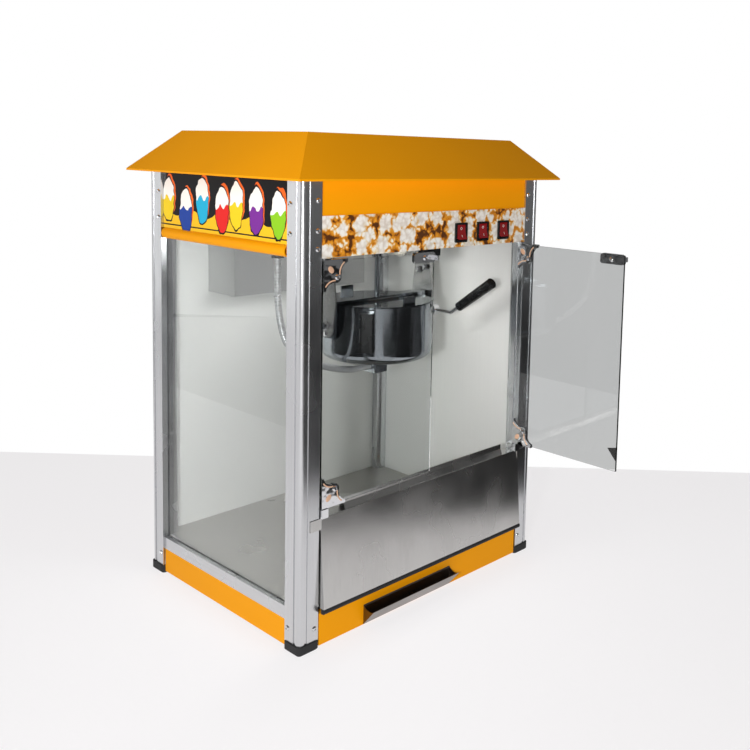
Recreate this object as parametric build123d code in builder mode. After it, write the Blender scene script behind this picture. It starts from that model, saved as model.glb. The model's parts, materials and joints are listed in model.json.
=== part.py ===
from build123d import *
import os
from math import cos, radians, sin

# Tabletop popcorn machine: four aluminium posts carry a hipped sheet roof, glazed sides and a
# stainless back. A tipping kettle hangs inside, a pair of glass doors closes the front, and a
# drawer under the perforated deck collects unpopped corn. Millimetres, +Z up, front at -Y. The sizes
# below are laid out about the middle of the cabinet; each piece is then moved back, so that the shared
# origin lies on the counter in the middle of the whole footprint, open right door included.

# Cabinet envelope
body_width = 530.0
body_depth = 420.0
post_top = 700.0
sheet = 1.5
fit_gap = 0.3

# Corner posts and feet
post_size = 35.0
post_corner_radius = 7.0
post_inner_radius = 10.0
post_wall = 3.0
post_core = 19.0
flute_width = 5.0
flute_depth = 1.2
flute_from_corner = 12.0
slot_width = 4.8
slot_depth = 8.0
slot_from_face = 10.0
foot_height = 14.0
foot_proud = 2.0
foot_chamfer = 2.0
spigot_depth = 10.0

# Roof
eave_overhang_x = 27.0
eave_overhang_y = 29.0
roof_hem = 3.0
roof_rise = 66.0
flat_inset = 38.0
soffit_lap = 20.0

# Fascias, signs and ceiling
fascia_bottom = 588.0
fascia_inset = 3.0
fascia_flange = 20.0
strip_height = 61.0
strip_thickness = 1.5
side_fascia_inset = 7.0
ledge_radius = 9.0
ledge_end_gap = 4.0
sign_thickness = 1.8
ceiling_hole_radius = 14.0

# Switches in the front strip
switch_pitch = 54.0
switch_from_post = 114.0
switch_rise = 24.0
bezel_width = 29.0
bezel_height = 33.0
bezel_proud = 2.5
bezel_body_width = 24.0
bezel_body_height = 29.0
bezel_body_depth = 18.0
bezel_corner = 2.0
well_width = 20.6
well_height = 27.0
well_depth = 10.0
rocker_width = 20.0
rocker_height = 24.6
rocker_dish = 2.0
rocker_rise = 4.2
rocker_root = 6.0
rocker_tilt = 11.0
rocker_pin_radius = 1.5
rocker_pin_length = 1.2
running_gap = 0.05

# Glazing, rails and base
glass_thickness = 4.0
hem_show = 3.0
hem_top = 20.0
rail_bottom = 44.5
rail_height = 20.0
rail_outset = 3.0
rail_width = 14.0
rail_floor = 4.0
base_clearance = 4.0
base_flange = 14.0
back_sheet_from_face = 12.0
deck_hole_radius = 3.0
deck_hole_pitch = 13.0
deck_hole_columns = 6
deck_hole_rows = 10
deck_patch_x = 140.0
deck_patch_y = 20.0

# Front panel, its rubber trim and the door sill
panel_top = 201.0
panel_slope = 11.0
panel_gap = 2.0
panel_ledge = 24.0
panel_floor_lap = 36.0
ear_height = 17.0
ear_reach = 20.0
trim_height = 8.0
trim_width = 7.0
sill_left_gap = 44.5
sill_right_gap = 34.5
sill_height = 8.5
sill_depth = 12.0
sill_rake = 3.0
sill_step = 1.0
stop_height = 18.0

# Doors
door_foot_gap = 16.0
door_head_gap = 4.6
door_inset = 1.0
door_side_gap = 2.5
door_pivot_inset = 5.0
door_meeting_gap = 3.0
door_right_open = 90.0
hinge_leg = 44.0
hinge_tip = 3.0
hinge_lobe_middle = 24.0
hinge_lobe_radius = 8.0
hinge_scallop = 9.0
hinge_plate = 2.0
shoe_thickness = 2.3
pivot_radius = 3.0
pivot_length = 7.5
pivot_block_width = 12.0
pivot_block_depth = 22.0
clip_length = 46.0
clip_height = 16.0
clip_lip = 12.0
clip_corner = 4.0
catch_width = 40.0
catch_height = 12.0
catch_depth = 14.0
catch_corner = 2.0

# Drawer
drawer_front_height = 50.0
drawer_front_bottom = 3.0
drawer_front_inset = 1.0
drawer_front_return = 12.0
drawer_side_gap = 2.6
tray_inset = 5.4
tray_bottom = 6.0
tray_top = 43.5
tray_back_gap = 45.0
tray_rim = 6.0
tray_sheet = 1.2
runner_width = 36.0
runner_leg = 22.0
runner_gap = 0.3
pull_left = -140.0
pull_width = 194.0
pull_reach = 24.0
pull_height = 32.0
pull_lip_drop = 4.5
pull_sag = 5.0

# Motor box behind the kettle
box_left = -160.0
box_width = 290.0
box_depth = 83.0
box_height = 104.5

# Kettle
kettle_x = 36.0
kettle_y = -30.0
tilt_axis_z = 445.0
tilt_above_bottom = 66.0
pot_radius = 100.0
pot_height = 100.0
pot_wall = 2.0
pot_floor = 3.0
pot_heel_radius = 18.0
rim_height = 7.0
rim_proud = 1.6
base_radius = 50.0
base_height = 8.0
base_chamfer = 2.0
terminal_size = 30.0
terminal_height = 22.0
terminal_corner = 2.0
yoke_width = 26.0
yoke_thickness = 7.0
yoke_leg = 6.0
yoke_leg_drop = 22.0
trunnion_radius = 6.0
trunnion_end_gap = 22.0
trunnion_stub = 8.0
lid_thickness = 1.2
lid_inset = 3.0
lid_lift = 0.4
lid_hinge_radius = 2.5
lid_hinge_length = 30.0
lid_hinge_gap = 1.0
lid_tab = 14.0
grip_angle = 220.0
grip_width = 24.0
grip_thickness = 12.0
grip_height = 67.0
grip_standoff = 3.0
grip_below_rim = 6.0
grip_corner = 4.0
grip_draft = 1.0

# Dump handle
hub_radius = 12.0
hub_length = 12.0
rod_radius = 3.5
rod_run = 36.0
grip_rise_angle = 34.0
dump_rod_exposed = 24.0
dump_grip_length = 98.0
dump_grip_root_radius = 8.8
dump_grip_tip_radius = 10.0
dump_grip_socket = 20.0
dump_grip_chamfer = 1.2
rod_bend_radius = 10.5

# Stirrer and drive
stirrer_radius = 4.5
stirrer_blade_length = 160.0
stirrer_blade_width = 12.0
stirrer_blade_thickness = 3.0
stirrer_floor_gap = 2.0
stirrer_reach = 111.0
tongue_thickness = 4.6
tongue_width = 7.4
tongue_height = 12.0
drive_radius = 4.5
coupling_radius = 9.0
coupling_height = 24.0
coupling_gap = 0.3
coupling_roof_gap = 2.0
motor_radius = 26.0
motor_length = 55.0
gearbox_size = 64.0
gearbox_height = 34.0
gearbox_corner = 7.0

# Hangers
hanger_gap = 5.1
hanger_thickness = 3.0
hanger_half_width = 20.0
hanger_flare = 27.0
hanger_flare_rise = 41.0
hanger_foot = 24.0

# Lamp and cable entries
lamp_from_post = 54.0
lamp_y = 60.0
lamp_socket_radius = 15.0
lamp_socket_height = 20.0
bulb_radius = 14.0
bulb_neck_radius = 9.0
bulb_length = 30.0
bulb_dome = 7.0
gland_from_post = 25.0
gland_y = -72.0
gland_radius = 11.0
gland_height = 15.0
conduit_radius = 5.0
conduit_rib = 0.9
conduit_bore = 3.6
conduit_ribs = 44
conduit_route = (
    (0.0, 0.0, 0.25),
    (0.01, -0.02, 0.46),
    (0.10, 0.0, 0.66),
    (0.29, 0.21, 0.82),
    (0.54, 0.57, 0.92),
    (0.78, 0.90, 0.98),
)
inlet_from_post = 40.0
inlet_rise = 52.0
inlet_bore = 4.0
inlet_radius = 9.0
inlet_length = 14.0

# Places worked out from the sizes above
half_w = body_width / 2
half_d = body_depth / 2
post_in_x = half_w - post_size
post_in_y = half_d - post_size
post_cx = half_w - post_size / 2
post_cy = half_d - post_size / 2
core_c = post_wall + post_core / 2
slot_c = slot_from_face + slot_width / 2
front_y = -half_d
eave_w = body_width + 2 * eave_overhang_x
eave_d = body_depth + 2 * eave_overhang_y
flat_w = body_width - 2 * flat_inset
flat_d = body_depth - 2 * flat_inset
slope_foot = post_top + roof_hem
roof_top = slope_foot + roof_rise
span_x = 2 * (post_in_x - fit_gap)
span_y = 2 * (post_in_y - fit_gap)
base_span_x = span_x - 2 * foot_proud
base_span_y = span_y - 2 * foot_proud
fascia_y = front_y + fascia_inset
fascia_height = post_top - fascia_bottom
ceiling_z = fascia_bottom + sheet
side_x = half_w - side_fascia_inset
ledge_top = fascia_bottom + 2 * ledge_radius
rail_top = rail_bottom + rail_height
rail_x = half_w - rail_outset
glass_x = half_w - slot_c
back_y = half_d - back_sheet_from_face - sheet / 2
panel_x = post_in_x - panel_gap
panel_low_y = front_y - panel_slope
door_bottom = panel_top + door_foot_gap
door_top = fascia_bottom - door_head_gap
door_middle_y = front_y + door_inset
pivot_x = post_in_x - door_side_gap - door_pivot_inset
door_reach = pivot_x - door_meeting_gap / 2
sill_left = sill_left_gap - pivot_x
sill_right = pivot_x - sill_right_gap
switch_middle_x = post_in_x - switch_from_post
switch_middle_z = fascia_bottom + switch_rise
lamp_x = post_in_x - lamp_from_post
gland_x = gland_from_post - post_in_x
inlet_x = post_in_x - inlet_from_post
inlet_z = fascia_bottom + inlet_rise
glass_half = glass_thickness / 2
drawer_y = front_y + drawer_front_inset
drawer_x = post_in_x - drawer_side_gap
tray_width = 2 * (drawer_x - tray_inset)
tray_back = half_d - tray_back_gap
pot_bottom = tilt_axis_z - tilt_above_bottom
pot_rim = pot_bottom + pot_height
yoke_bottom = pot_rim + lid_lift
yoke_top = yoke_bottom + yoke_thickness
leg_x = pot_radius + rim_proud + fit_gap
leg_out = leg_x + yoke_leg
hanger_offset = leg_out + hanger_gap
hanger_flare_z = tilt_axis_z + hanger_flare_rise
box_bottom = ceiling_z - box_height
box_front = back_y - sheet / 2 - fit_gap - box_depth
shoulder_z = tilt_axis_z + stirrer_reach
coupling_bottom = shoulder_z + coupling_gap
coupling_top = coupling_bottom + coupling_height
grip_dir = Vector(0, -cos(radians(grip_rise_angle)), sin(radians(grip_rise_angle)))
hub_x = hanger_offset + hanger_thickness + trunnion_end_gap
door_tip_y = door_middle_y - door_reach
frame_shift = Pos(0, -(door_tip_y + eave_d / 2) / 2, 0)

os.makedirs("parts", exist_ok=True)


def keep(piece, name):
    """Move a finished piece into the shared frame, label it and write its file."""
    placed = frame_shift * piece.part
    placed.label = name
    export_step(placed, f"parts/{name}.step")


# Corner posts: one extrusion with two rounded corners, two flutes, a hollow core and two glazing
# slots, handed for each corner.
for row, sy in (("front", -1), ("back", 1)):
    for hand, sx in (("left", -1), ("right", 1)):
        with BuildPart() as post:
            with BuildSketch(Plane.XY.offset(foot_height)) as section:
                with Locations((sx * post_cx, sy * post_cy)):
                    Rectangle(post_size, post_size)
                outer_corner = section.vertices().sort_by_distance((0, 0, 0))[-1]
                fillet(outer_corner, post_corner_radius)
                inner_corner = section.vertices().sort_by_distance((0, 0, 0))[0]
                fillet(inner_corner, post_inner_radius)
                with Locations((sx * (half_w - core_c), sy * (half_d - core_c))):
                    Rectangle(post_core, post_core, mode=Mode.SUBTRACT)
                with Locations((sx * (half_w - flute_from_corner), sy * (half_d - flute_depth / 2))):
                    Rectangle(flute_width, flute_depth, mode=Mode.SUBTRACT)
                with Locations((sx * (half_w - flute_depth / 2), sy * (half_d - flute_from_corner))):
                    Rectangle(flute_depth, flute_width, mode=Mode.SUBTRACT)
                with Locations((sx * glass_x, sy * (post_in_y + slot_depth / 2))):
                    Rectangle(slot_width, slot_depth, mode=Mode.SUBTRACT)
                with Locations((sx * (post_in_x + slot_depth / 2), sy * (half_d - slot_c))):
                    Rectangle(slot_depth, slot_width, mode=Mode.SUBTRACT)
            extrude(amount=post_top - foot_height)
        keep(post, f"post_{row}_{hand}")

# Rubber foot caps, each with a spigot in its post's core
with BuildPart() as foot_caps:
    with BuildSketch():
        with GridLocations(2 * post_cx, 2 * post_cy, 2, 2):
            RectangleRounded(post_size + 2 * foot_proud, post_size + 2 * foot_proud, post_corner_radius)
    extrude(amount=foot_height)
    chamfer(foot_caps.faces().filter_by(Axis.Z).group_by(Axis.Z)[0].edges(), foot_chamfer)
    with BuildSketch(Plane.XY.offset(foot_height)):
        with GridLocations(2 * (half_w - core_c), 2 * (half_d - core_c), 2, 2):
            Rectangle(post_core - 2 * fit_gap, post_core - 2 * fit_gap)
    extrude(amount=spigot_depth)
keep(foot_caps, "foot_caps")

# Hipped roof: a hollow sheet cap with a short hem and a soffit that sits on the posts
with BuildPart() as roof:
    with BuildSketch(Plane.XY.offset(post_top)):
        Rectangle(eave_w, eave_d)
    extrude(amount=roof_hem)
    with BuildSketch(Plane.XY.offset(slope_foot)):
        Rectangle(eave_w, eave_d)
    with BuildSketch(Plane.XY.offset(roof_top)):
        Rectangle(flat_w, flat_d)
    loft()
    with BuildSketch(Plane.XY.offset(post_top + sheet)):
        Rectangle(eave_w - 2 * sheet, eave_d - 2 * sheet)
    with BuildSketch(Plane.XY.offset(roof_top - sheet)):
        Rectangle(flat_w - 2 * sheet, flat_d - 2 * sheet)
    loft(mode=Mode.SUBTRACT)
    with BuildSketch(Plane.XY.offset(post_top)):
        Rectangle(body_width - 2 * soffit_lap, body_depth - 2 * soffit_lap)
    extrude(amount=sheet, mode=Mode.SUBTRACT)
keep(roof, "roof")

# Front fascia: painted sheet with a flange for the ceiling and three switch cut-outs
switch_plane = Plane.XZ.offset(-fascia_y)
with BuildPart() as fascia_front:
    with BuildSketch(Plane.YZ):
        with BuildLine():
            Polyline(
                (fascia_y, fascia_bottom),
                (fascia_y + fascia_flange, fascia_bottom),
                (fascia_y + fascia_flange, ceiling_z),
                (fascia_y + sheet, ceiling_z),
                (fascia_y + sheet, post_top),
                (fascia_y, post_top),
                close=True,
            )
        make_face()
    extrude(amount=span_x / 2, both=True)
    with BuildSketch(switch_plane):
        with Locations((switch_middle_x, switch_middle_z)):
            with GridLocations(switch_pitch, bezel_height, 3, 1):
                Rectangle(bezel_body_width + 2 * fit_gap, bezel_body_height + 2 * fit_gap)
    extrude(amount=-sheet, mode=Mode.SUBTRACT)
keep(fascia_front, "fascia_front")

# Printed front strip on the lower part of the fascia
with BuildPart() as front_strip:
    with BuildSketch(switch_plane):
        with Locations((0, fascia_bottom + strip_height / 2)):
            Rectangle(span_x, strip_height)
        with Locations((switch_middle_x, switch_middle_z)):
            with GridLocations(switch_pitch, bezel_height, 3, 1):
                Rectangle(
                    bezel_body_width + 2 * fit_gap,
                    bezel_body_height + 2 * fit_gap,
                    mode=Mode.SUBTRACT,
                )
    extrude(amount=strip_thickness)
keep(front_strip, "front_strip")

# Switch bezels: a frame on the strip, a body through the fascia and a well for the rocker
bezel_seat_y = fascia_y - strip_thickness
bezel_front_y = bezel_seat_y - bezel_proud
rocker_axis_y = bezel_front_y + bezel_proud
with BuildPart() as switch_bezels:
    with BuildSketch(Plane.XZ.offset(-bezel_seat_y)):
        with Locations((switch_middle_x, switch_middle_z)):
            with GridLocations(switch_pitch, bezel_height, 3, 1):
                RectangleRounded(bezel_width, bezel_height, bezel_corner)
    extrude(amount=bezel_proud)
    with BuildSketch(Plane.XZ.offset(-bezel_seat_y)):
        with Locations((switch_middle_x, switch_middle_z)):
            with GridLocations(switch_pitch, bezel_height, 3, 1):
                Rectangle(bezel_body_width, bezel_body_height)
    extrude(amount=-bezel_body_depth)
    with BuildSketch(Plane.XZ.offset(-bezel_front_y)):
        with Locations((switch_middle_x, switch_middle_z)):
            with GridLocations(switch_pitch, bezel_height, 3, 1):
                Rectangle(well_width, well_height)
    extrude(amount=-well_depth - bezel_proud, mode=Mode.SUBTRACT)
    for place in range(3):
        axis_x = switch_middle_x + (place - 1) * switch_pitch
        with BuildSketch(Plane.YZ.offset(axis_x)):
            with Locations((rocker_axis_y, switch_middle_z)):
                Circle(rocker_pin_radius + running_gap)
        extrude(amount=well_width / 2 + rocker_pin_length, both=True, mode=Mode.SUBTRACT)
keep(switch_bezels, "switch_bezels")

# Rockers: dished paddles on pins along X, at rest with the lower half standing out
for place, use in enumerate(("light", "motor", "heat")):
    rocker_plane = Plane(
        origin=(switch_middle_x + (place - 1) * switch_pitch, rocker_axis_y, switch_middle_z),
        x_dir=(0, sin(radians(rocker_tilt)), cos(radians(rocker_tilt))),
        z_dir=(1, 0, 0),
    )
    with BuildPart() as rocker:
        with BuildSketch(rocker_plane):
            with BuildLine():
                ThreePointArc(
                    (rocker_height / 2, rocker_rise),
                    (0, rocker_rise - rocker_dish),
                    (-rocker_height / 2, rocker_rise),
                )
                Polyline(
                    (-rocker_height / 2, rocker_rise),
                    (-rocker_root, -rocker_root),
                    (rocker_root, -rocker_root),
                    (rocker_height / 2, rocker_rise),
                )
            make_face()
        extrude(amount=rocker_width / 2, both=True)
        with BuildSketch(rocker_plane):
            Circle(rocker_pin_radius)
        extrude(amount=well_width / 2 + rocker_pin_length - fit_gap, both=True)
    keep(rocker, f"rocker_{use}")

# Side fascias: sheet with a rolled hollow ledge along the bottom, and the sign panel above it
for hand, side in (("left", -1), ("right", 1)):
    ledge_z = fascia_bottom + ledge_radius
    with BuildPart() as side_fascia:
        with BuildSketch(Plane.XZ):
            with Locations((side * (side_x - sheet / 2), fascia_bottom + fascia_height / 2)):
                Rectangle(sheet, fascia_height)
            with BuildLine():
                ThreePointArc(
                    (side * side_x, fascia_bottom),
                    (side * (side_x + ledge_radius), ledge_z),
                    (side * side_x, ledge_top),
                )
                Line((side * side_x, ledge_top), (side * side_x, ledge_top - sheet))
                ThreePointArc(
                    (side * side_x, ledge_top - sheet),
                    (side * (side_x + ledge_radius - sheet), ledge_z),
                    (side * side_x, fascia_bottom + sheet),
                )
                Line((side * side_x, fascia_bottom + sheet), (side * side_x, fascia_bottom))
            make_face()
        extrude(amount=span_y / 2 - ledge_end_gap, both=True)
    keep(side_fascia, f"side_fascia_{hand}")
    with BuildPart() as sign:
        with BuildSketch(Plane.YZ.offset(side * side_x)):
            with Locations((0, (ledge_top + post_top) / 2)):
                Rectangle(span_y, post_top - ledge_top)
        extrude(amount=side * sign_thickness)
    keep(sign, f"side_sign_{hand}")

# Back fascia with the cable entry hole
with BuildPart() as fascia_back:
    with BuildSketch(Plane.XZ.offset(-(half_d - fascia_inset))):
        with Locations((0, fascia_bottom + fascia_height / 2)):
            Rectangle(span_x, fascia_height)
        with Locations((inlet_x, inlet_z)):
            Circle(inlet_radius - sheet + fit_gap, mode=Mode.SUBTRACT)
    extrude(amount=sheet)
keep(fascia_back, "fascia_back")

# Cable inlet: flanged bush through the back fascia
with BuildPart() as cable_inlet:
    with BuildSketch(Plane.XZ.offset(-(half_d - fascia_inset))):
        with Locations((inlet_x, inlet_z)):
            Circle(inlet_radius - sheet)
    extrude(amount=inlet_length)
    with BuildSketch(Plane.XZ.offset(-(half_d - fascia_inset))):
        with Locations((inlet_x, inlet_z)):
            Circle(inlet_radius)
    extrude(amount=-fascia_inset)
    with BuildSketch(Plane.XZ.offset(-half_d)):
        with Locations((inlet_x, inlet_z)):
            Circle(inlet_bore)
    extrude(amount=inlet_length + fascia_inset, mode=Mode.SUBTRACT)
keep(cable_inlet, "cable_inlet")

# Ceiling plate on the front flange, with holes for the drive shaft and the conduit gland
with BuildPart() as ceiling:
    ceiling_front = fascia_y + sheet + fit_gap
    ceiling_back = half_d - fascia_inset - sheet - fit_gap
    with BuildSketch(Plane.XY.offset(ceiling_z)):
        with Locations((0, (ceiling_front + ceiling_back) / 2)):
            Rectangle(span_x, ceiling_back - ceiling_front)
        Rectangle(2 * (side_x - sheet - fit_gap), span_y)
        with Locations((kettle_x, kettle_y)):
            Circle(ceiling_hole_radius, mode=Mode.SUBTRACT)
        with Locations((gland_x, gland_y)):
            Circle(conduit_radius + conduit_rib + fit_gap, mode=Mode.SUBTRACT)
    extrude(amount=sheet)
keep(ceiling, "ceiling_plate")

# Side walls in the post slots, each standing in a grooved aluminium rail: glass on the left, and
# on the right a stainless sheet with hems as thick as the glass
for hand, side in (("left", -1), ("right", 1)):
    with BuildPart() as wall:
        with BuildSketch(Plane.XY.offset(rail_bottom + rail_floor)):
            with Locations((side * glass_x, 0)):
                Rectangle(glass_thickness, 2 * (post_in_y + slot_depth - fit_gap))
        extrude(amount=ceiling_z - fit_gap - rail_bottom - rail_floor)
        if hand == "right":
            hem_low = rail_top + hem_show
            hem_high = ceiling_z - fit_gap - hem_top
            with BuildSketch(Plane.YZ.offset(side * (glass_x + glass_half))):
                with Locations((0, (hem_low + hem_high) / 2)):
                    Rectangle(2 * (post_in_y - hem_show), hem_high - hem_low)
            extrude(amount=-side * (glass_thickness - sheet), mode=Mode.SUBTRACT)
    keep(wall, "side_glass_left" if hand == "left" else "side_panel_right")
    with BuildPart() as rail:
        with BuildSketch(Plane.XZ):
            with Locations((side * (rail_x - rail_width / 2), rail_bottom + rail_height / 2)):
                Rectangle(rail_width, rail_height)
            with Locations((side * glass_x, rail_bottom + rail_floor + rail_height / 2)):
                Rectangle(slot_width, rail_height, mode=Mode.SUBTRACT)
        extrude(amount=span_y / 2, both=True)
    keep(rail, f"side_rail_{hand}")
    with BuildPart() as base_side:
        with BuildSketch(Plane.XZ):
            with BuildLine():
                Polyline(
                    (side * rail_x, base_clearance),
                    (side * rail_x, rail_bottom),
                    (side * (rail_x - base_flange), rail_bottom),
                    (side * (rail_x - base_flange), rail_bottom - sheet),
                    (side * (rail_x - sheet), rail_bottom - sheet),
                    (side * (rail_x - sheet), base_clearance),
                    close=True,
                )
            make_face()
        extrude(amount=base_span_y / 2, both=True)
    keep(base_side, f"base_side_{hand}")

# Drawer runners: angles on the base sides
with BuildPart() as runners:
    runner_top = tray_top - tray_sheet - runner_gap
    for side in (-1, 1):
        runner_x = rail_x - sheet
        with BuildSketch(Plane.XZ):
            with BuildLine():
                Polyline(
                    (side * runner_x, runner_top),
                    (side * (runner_x - runner_width), runner_top),
                    (side * (runner_x - runner_width), runner_top - sheet),
                    (side * (runner_x - sheet), runner_top - sheet),
                    (side * (runner_x - sheet), runner_top - runner_leg),
                    (side * runner_x, runner_top - runner_leg),
                    close=True,
                )
            make_face()
        extrude(amount=base_span_y / 2, both=True)
keep(runners, "drawer_runners")

# Stainless back between the rear post slots, over a painted base back
with BuildPart() as back_panel:
    with BuildSketch(Plane.XZ.offset(-back_y)):
        with Locations((0, (rail_top + ceiling_z) / 2)):
            Rectangle(2 * (post_in_x + slot_depth - fit_gap), ceiling_z - fit_gap - rail_top)
    extrude(amount=sheet / 2, both=True)
keep(back_panel, "back_panel")

with BuildPart() as base_back:
    back_face = half_d - rail_outset
    with BuildSketch(Plane.YZ):
        with BuildLine():
            Polyline(
                (back_face, base_clearance),
                (back_face, rail_top),
                (back_face - base_flange - sheet, rail_top),
                (back_face - base_flange - sheet, rail_top - sheet),
                (back_face - sheet, rail_top - sheet),
                (back_face - sheet, base_clearance),
                close=True,
            )
        make_face()
    extrude(amount=base_span_x / 2, both=True)
keep(base_back, "base_back")

# Deck: stainless plate notched round the posts, with a sifting patch over the drawer
with BuildPart() as deck:
    deck_front = front_y + post_size / 2
    deck_back = back_y - sheet / 2 - fit_gap
    deck_half_x = glass_x - glass_half - fit_gap
    with BuildSketch(Plane.XY.offset(rail_top)) as deck_plan:
        with Locations((0, (deck_front + deck_back) / 2)):
            Rectangle(span_x, deck_back - deck_front)
        Rectangle(2 * deck_half_x, span_y)
        notches = deck_plan.vertices().sort_by_distance((0, 0, 0))[:4]
        fillet(notches, post_inner_radius + fit_gap)
        with Locations((deck_patch_x, deck_patch_y)):
            with GridLocations(deck_hole_pitch, deck_hole_pitch, deck_hole_columns, deck_hole_rows):
                Circle(deck_hole_radius, mode=Mode.SUBTRACT)
    extrude(amount=sheet)
keep(deck, "deck")

# Front panel: bent sheet that leans out towards its foot, with a ledge under the doors, a floor
# flange under the deck, side returns, and two ears that hook over the posts
with BuildPart() as front_panel:
    ledge_back = front_y + panel_ledge
    floor_back = panel_low_y + panel_floor_lap
    with BuildSketch(Plane.YZ):
        with BuildLine():
            Polyline(
                (ledge_back, panel_top),
                (front_y, panel_top),
                (panel_low_y, rail_top - sheet),
                (floor_back, rail_top - sheet),
                (floor_back, rail_top),
                (panel_low_y + sheet, rail_top),
                (front_y + sheet, panel_top - sheet),
                (ledge_back, panel_top - sheet),
                close=True,
            )
        make_face()
    extrude(amount=panel_x, both=True)
    for side in (-1, 1):
        with BuildSketch(Plane.YZ.offset(side * panel_x)):
            with BuildLine():
                Polyline(
                    (front_y, panel_top),
                    (panel_low_y, rail_top - sheet),
                    (front_y + sheet, rail_top - sheet),
                    (ledge_back, panel_top),
                    close=True,
                )
            make_face()
        extrude(amount=-side * sheet)
        with BuildSketch(Plane.XZ.offset(-front_y)):
            with Locations((side * (panel_x - sheet + ear_reach / 2), panel_top - ear_height / 2)):
                Rectangle(ear_reach, ear_height)
        extrude(amount=sheet)
keep(front_panel, "front_panel")

# Black rubber edge along the foot of the front panel
with BuildPart() as panel_trim:
    trim_top = rail_top - sheet
    with BuildSketch(Plane.YZ):
        with BuildLine():
            Polyline(
                (panel_low_y + trim_width, trim_top),
                (panel_low_y, trim_top),
            )
            ThreePointArc(
                (panel_low_y, trim_top),
                (panel_low_y - trim_width / 4, trim_top - trim_height / 2),
                (panel_low_y + trim_width / 2, trim_top - trim_height),
            )
            Polyline(
                (panel_low_y + trim_width / 2, trim_top - trim_height),
                (panel_low_y + trim_width, trim_top - trim_height),
                (panel_low_y + trim_width, trim_top),
            )
        make_face()
    extrude(amount=panel_x, both=True)
keep(panel_trim, "panel_trim")

# Door sill: channel on the ledge with a raked front, and an upright flange that stops the doors
with BuildPart() as door_sill:
    stop_y = door_middle_y + glass_half + hinge_plate + fit_gap
    flange_y = stop_y + sill_step
    sill_back = stop_y + sill_depth
    sill_top = panel_top + sill_height
    with BuildSketch(Plane.YZ.offset(sill_left)):
        with BuildLine():
            Polyline(
                (sill_back, panel_top),
                (sill_back, sill_top),
                (flange_y + sheet, sill_top),
                (flange_y + sheet, panel_top + stop_height),
                (flange_y, panel_top + stop_height),
                (flange_y, sill_top),
                (stop_y, sill_top),
                (stop_y - sill_rake, panel_top),
                (stop_y - sill_rake + sheet, panel_top),
                (stop_y + sheet, sill_top - sheet),
                (sill_back - sheet, sill_top - sheet),
                (sill_back - sheet, panel_top),
                close=True,
            )
        make_face()
    extrude(amount=sill_right - sill_left)
keep(door_sill, "door_sill")

# Pivot blocks for the doors: on the ledge below, and under the fascia flange above
with BuildPart() as pivot_blocks:
    block_y = door_middle_y - pivot_block_width / 2 + pivot_block_depth / 2
    low_block = door_bottom - shoe_thickness - fit_gap - panel_top
    high_block = fascia_bottom - door_top - shoe_thickness - fit_gap
    for side in (-1, 1):
        for foot, height in ((panel_top, low_block), (fascia_bottom - high_block, high_block)):
            with BuildSketch(Plane.XY.offset(foot)):
                with Locations((side * pivot_x, block_y)):
                    Rectangle(pivot_block_width, pivot_block_depth)
                with Locations((side * pivot_x, door_middle_y)):
                    Circle(pivot_radius + running_gap, mode=Mode.SUBTRACT)
            extrude(amount=height)
keep(pivot_blocks, "pivot_blocks")

# Magnetic catch behind the meeting edges
with BuildPart() as door_catch:
    with BuildSketch(Plane.XY.offset(fascia_bottom)):
        with Locations((0, stop_y + catch_depth / 2)):
            RectangleRounded(catch_width, catch_depth, catch_corner)
    extrude(amount=-catch_height)
keep(door_catch, "door_catch")


def hinge_outline(tip):
    """Corner hinge plate: two narrow legs, two scallops and a round lobe on the diagonal.

    The corner is at the sketch origin and the legs run along +x and along y towards tip (1 or -1).
    """
    knee = hinge_lobe_middle + hinge_lobe_radius
    near = hinge_lobe_middle - hinge_tip
    bulge = hinge_lobe_middle + hinge_lobe_radius * cos(radians(45))
    with BuildSketch() as outline:
        with BuildLine():
            Polyline(
                (hinge_leg, tip * hinge_tip),
                (hinge_leg, 0),
                (0, 0),
                (0, tip * hinge_leg),
                (hinge_tip, tip * hinge_leg),
            )
            ThreePointArc(
                (hinge_tip, tip * hinge_leg),
                (hinge_scallop, tip * (hinge_leg - hinge_scallop)),
                (near, tip * knee),
            )
            ThreePointArc((near, tip * knee), (bulge, tip * bulge), (knee, tip * near))
            ThreePointArc(
                (knee, tip * near),
                (hinge_leg - hinge_scallop, tip * hinge_scallop),
                (hinge_leg, tip * hinge_tip),
            )
        make_face()
    return outline.sketch


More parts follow.
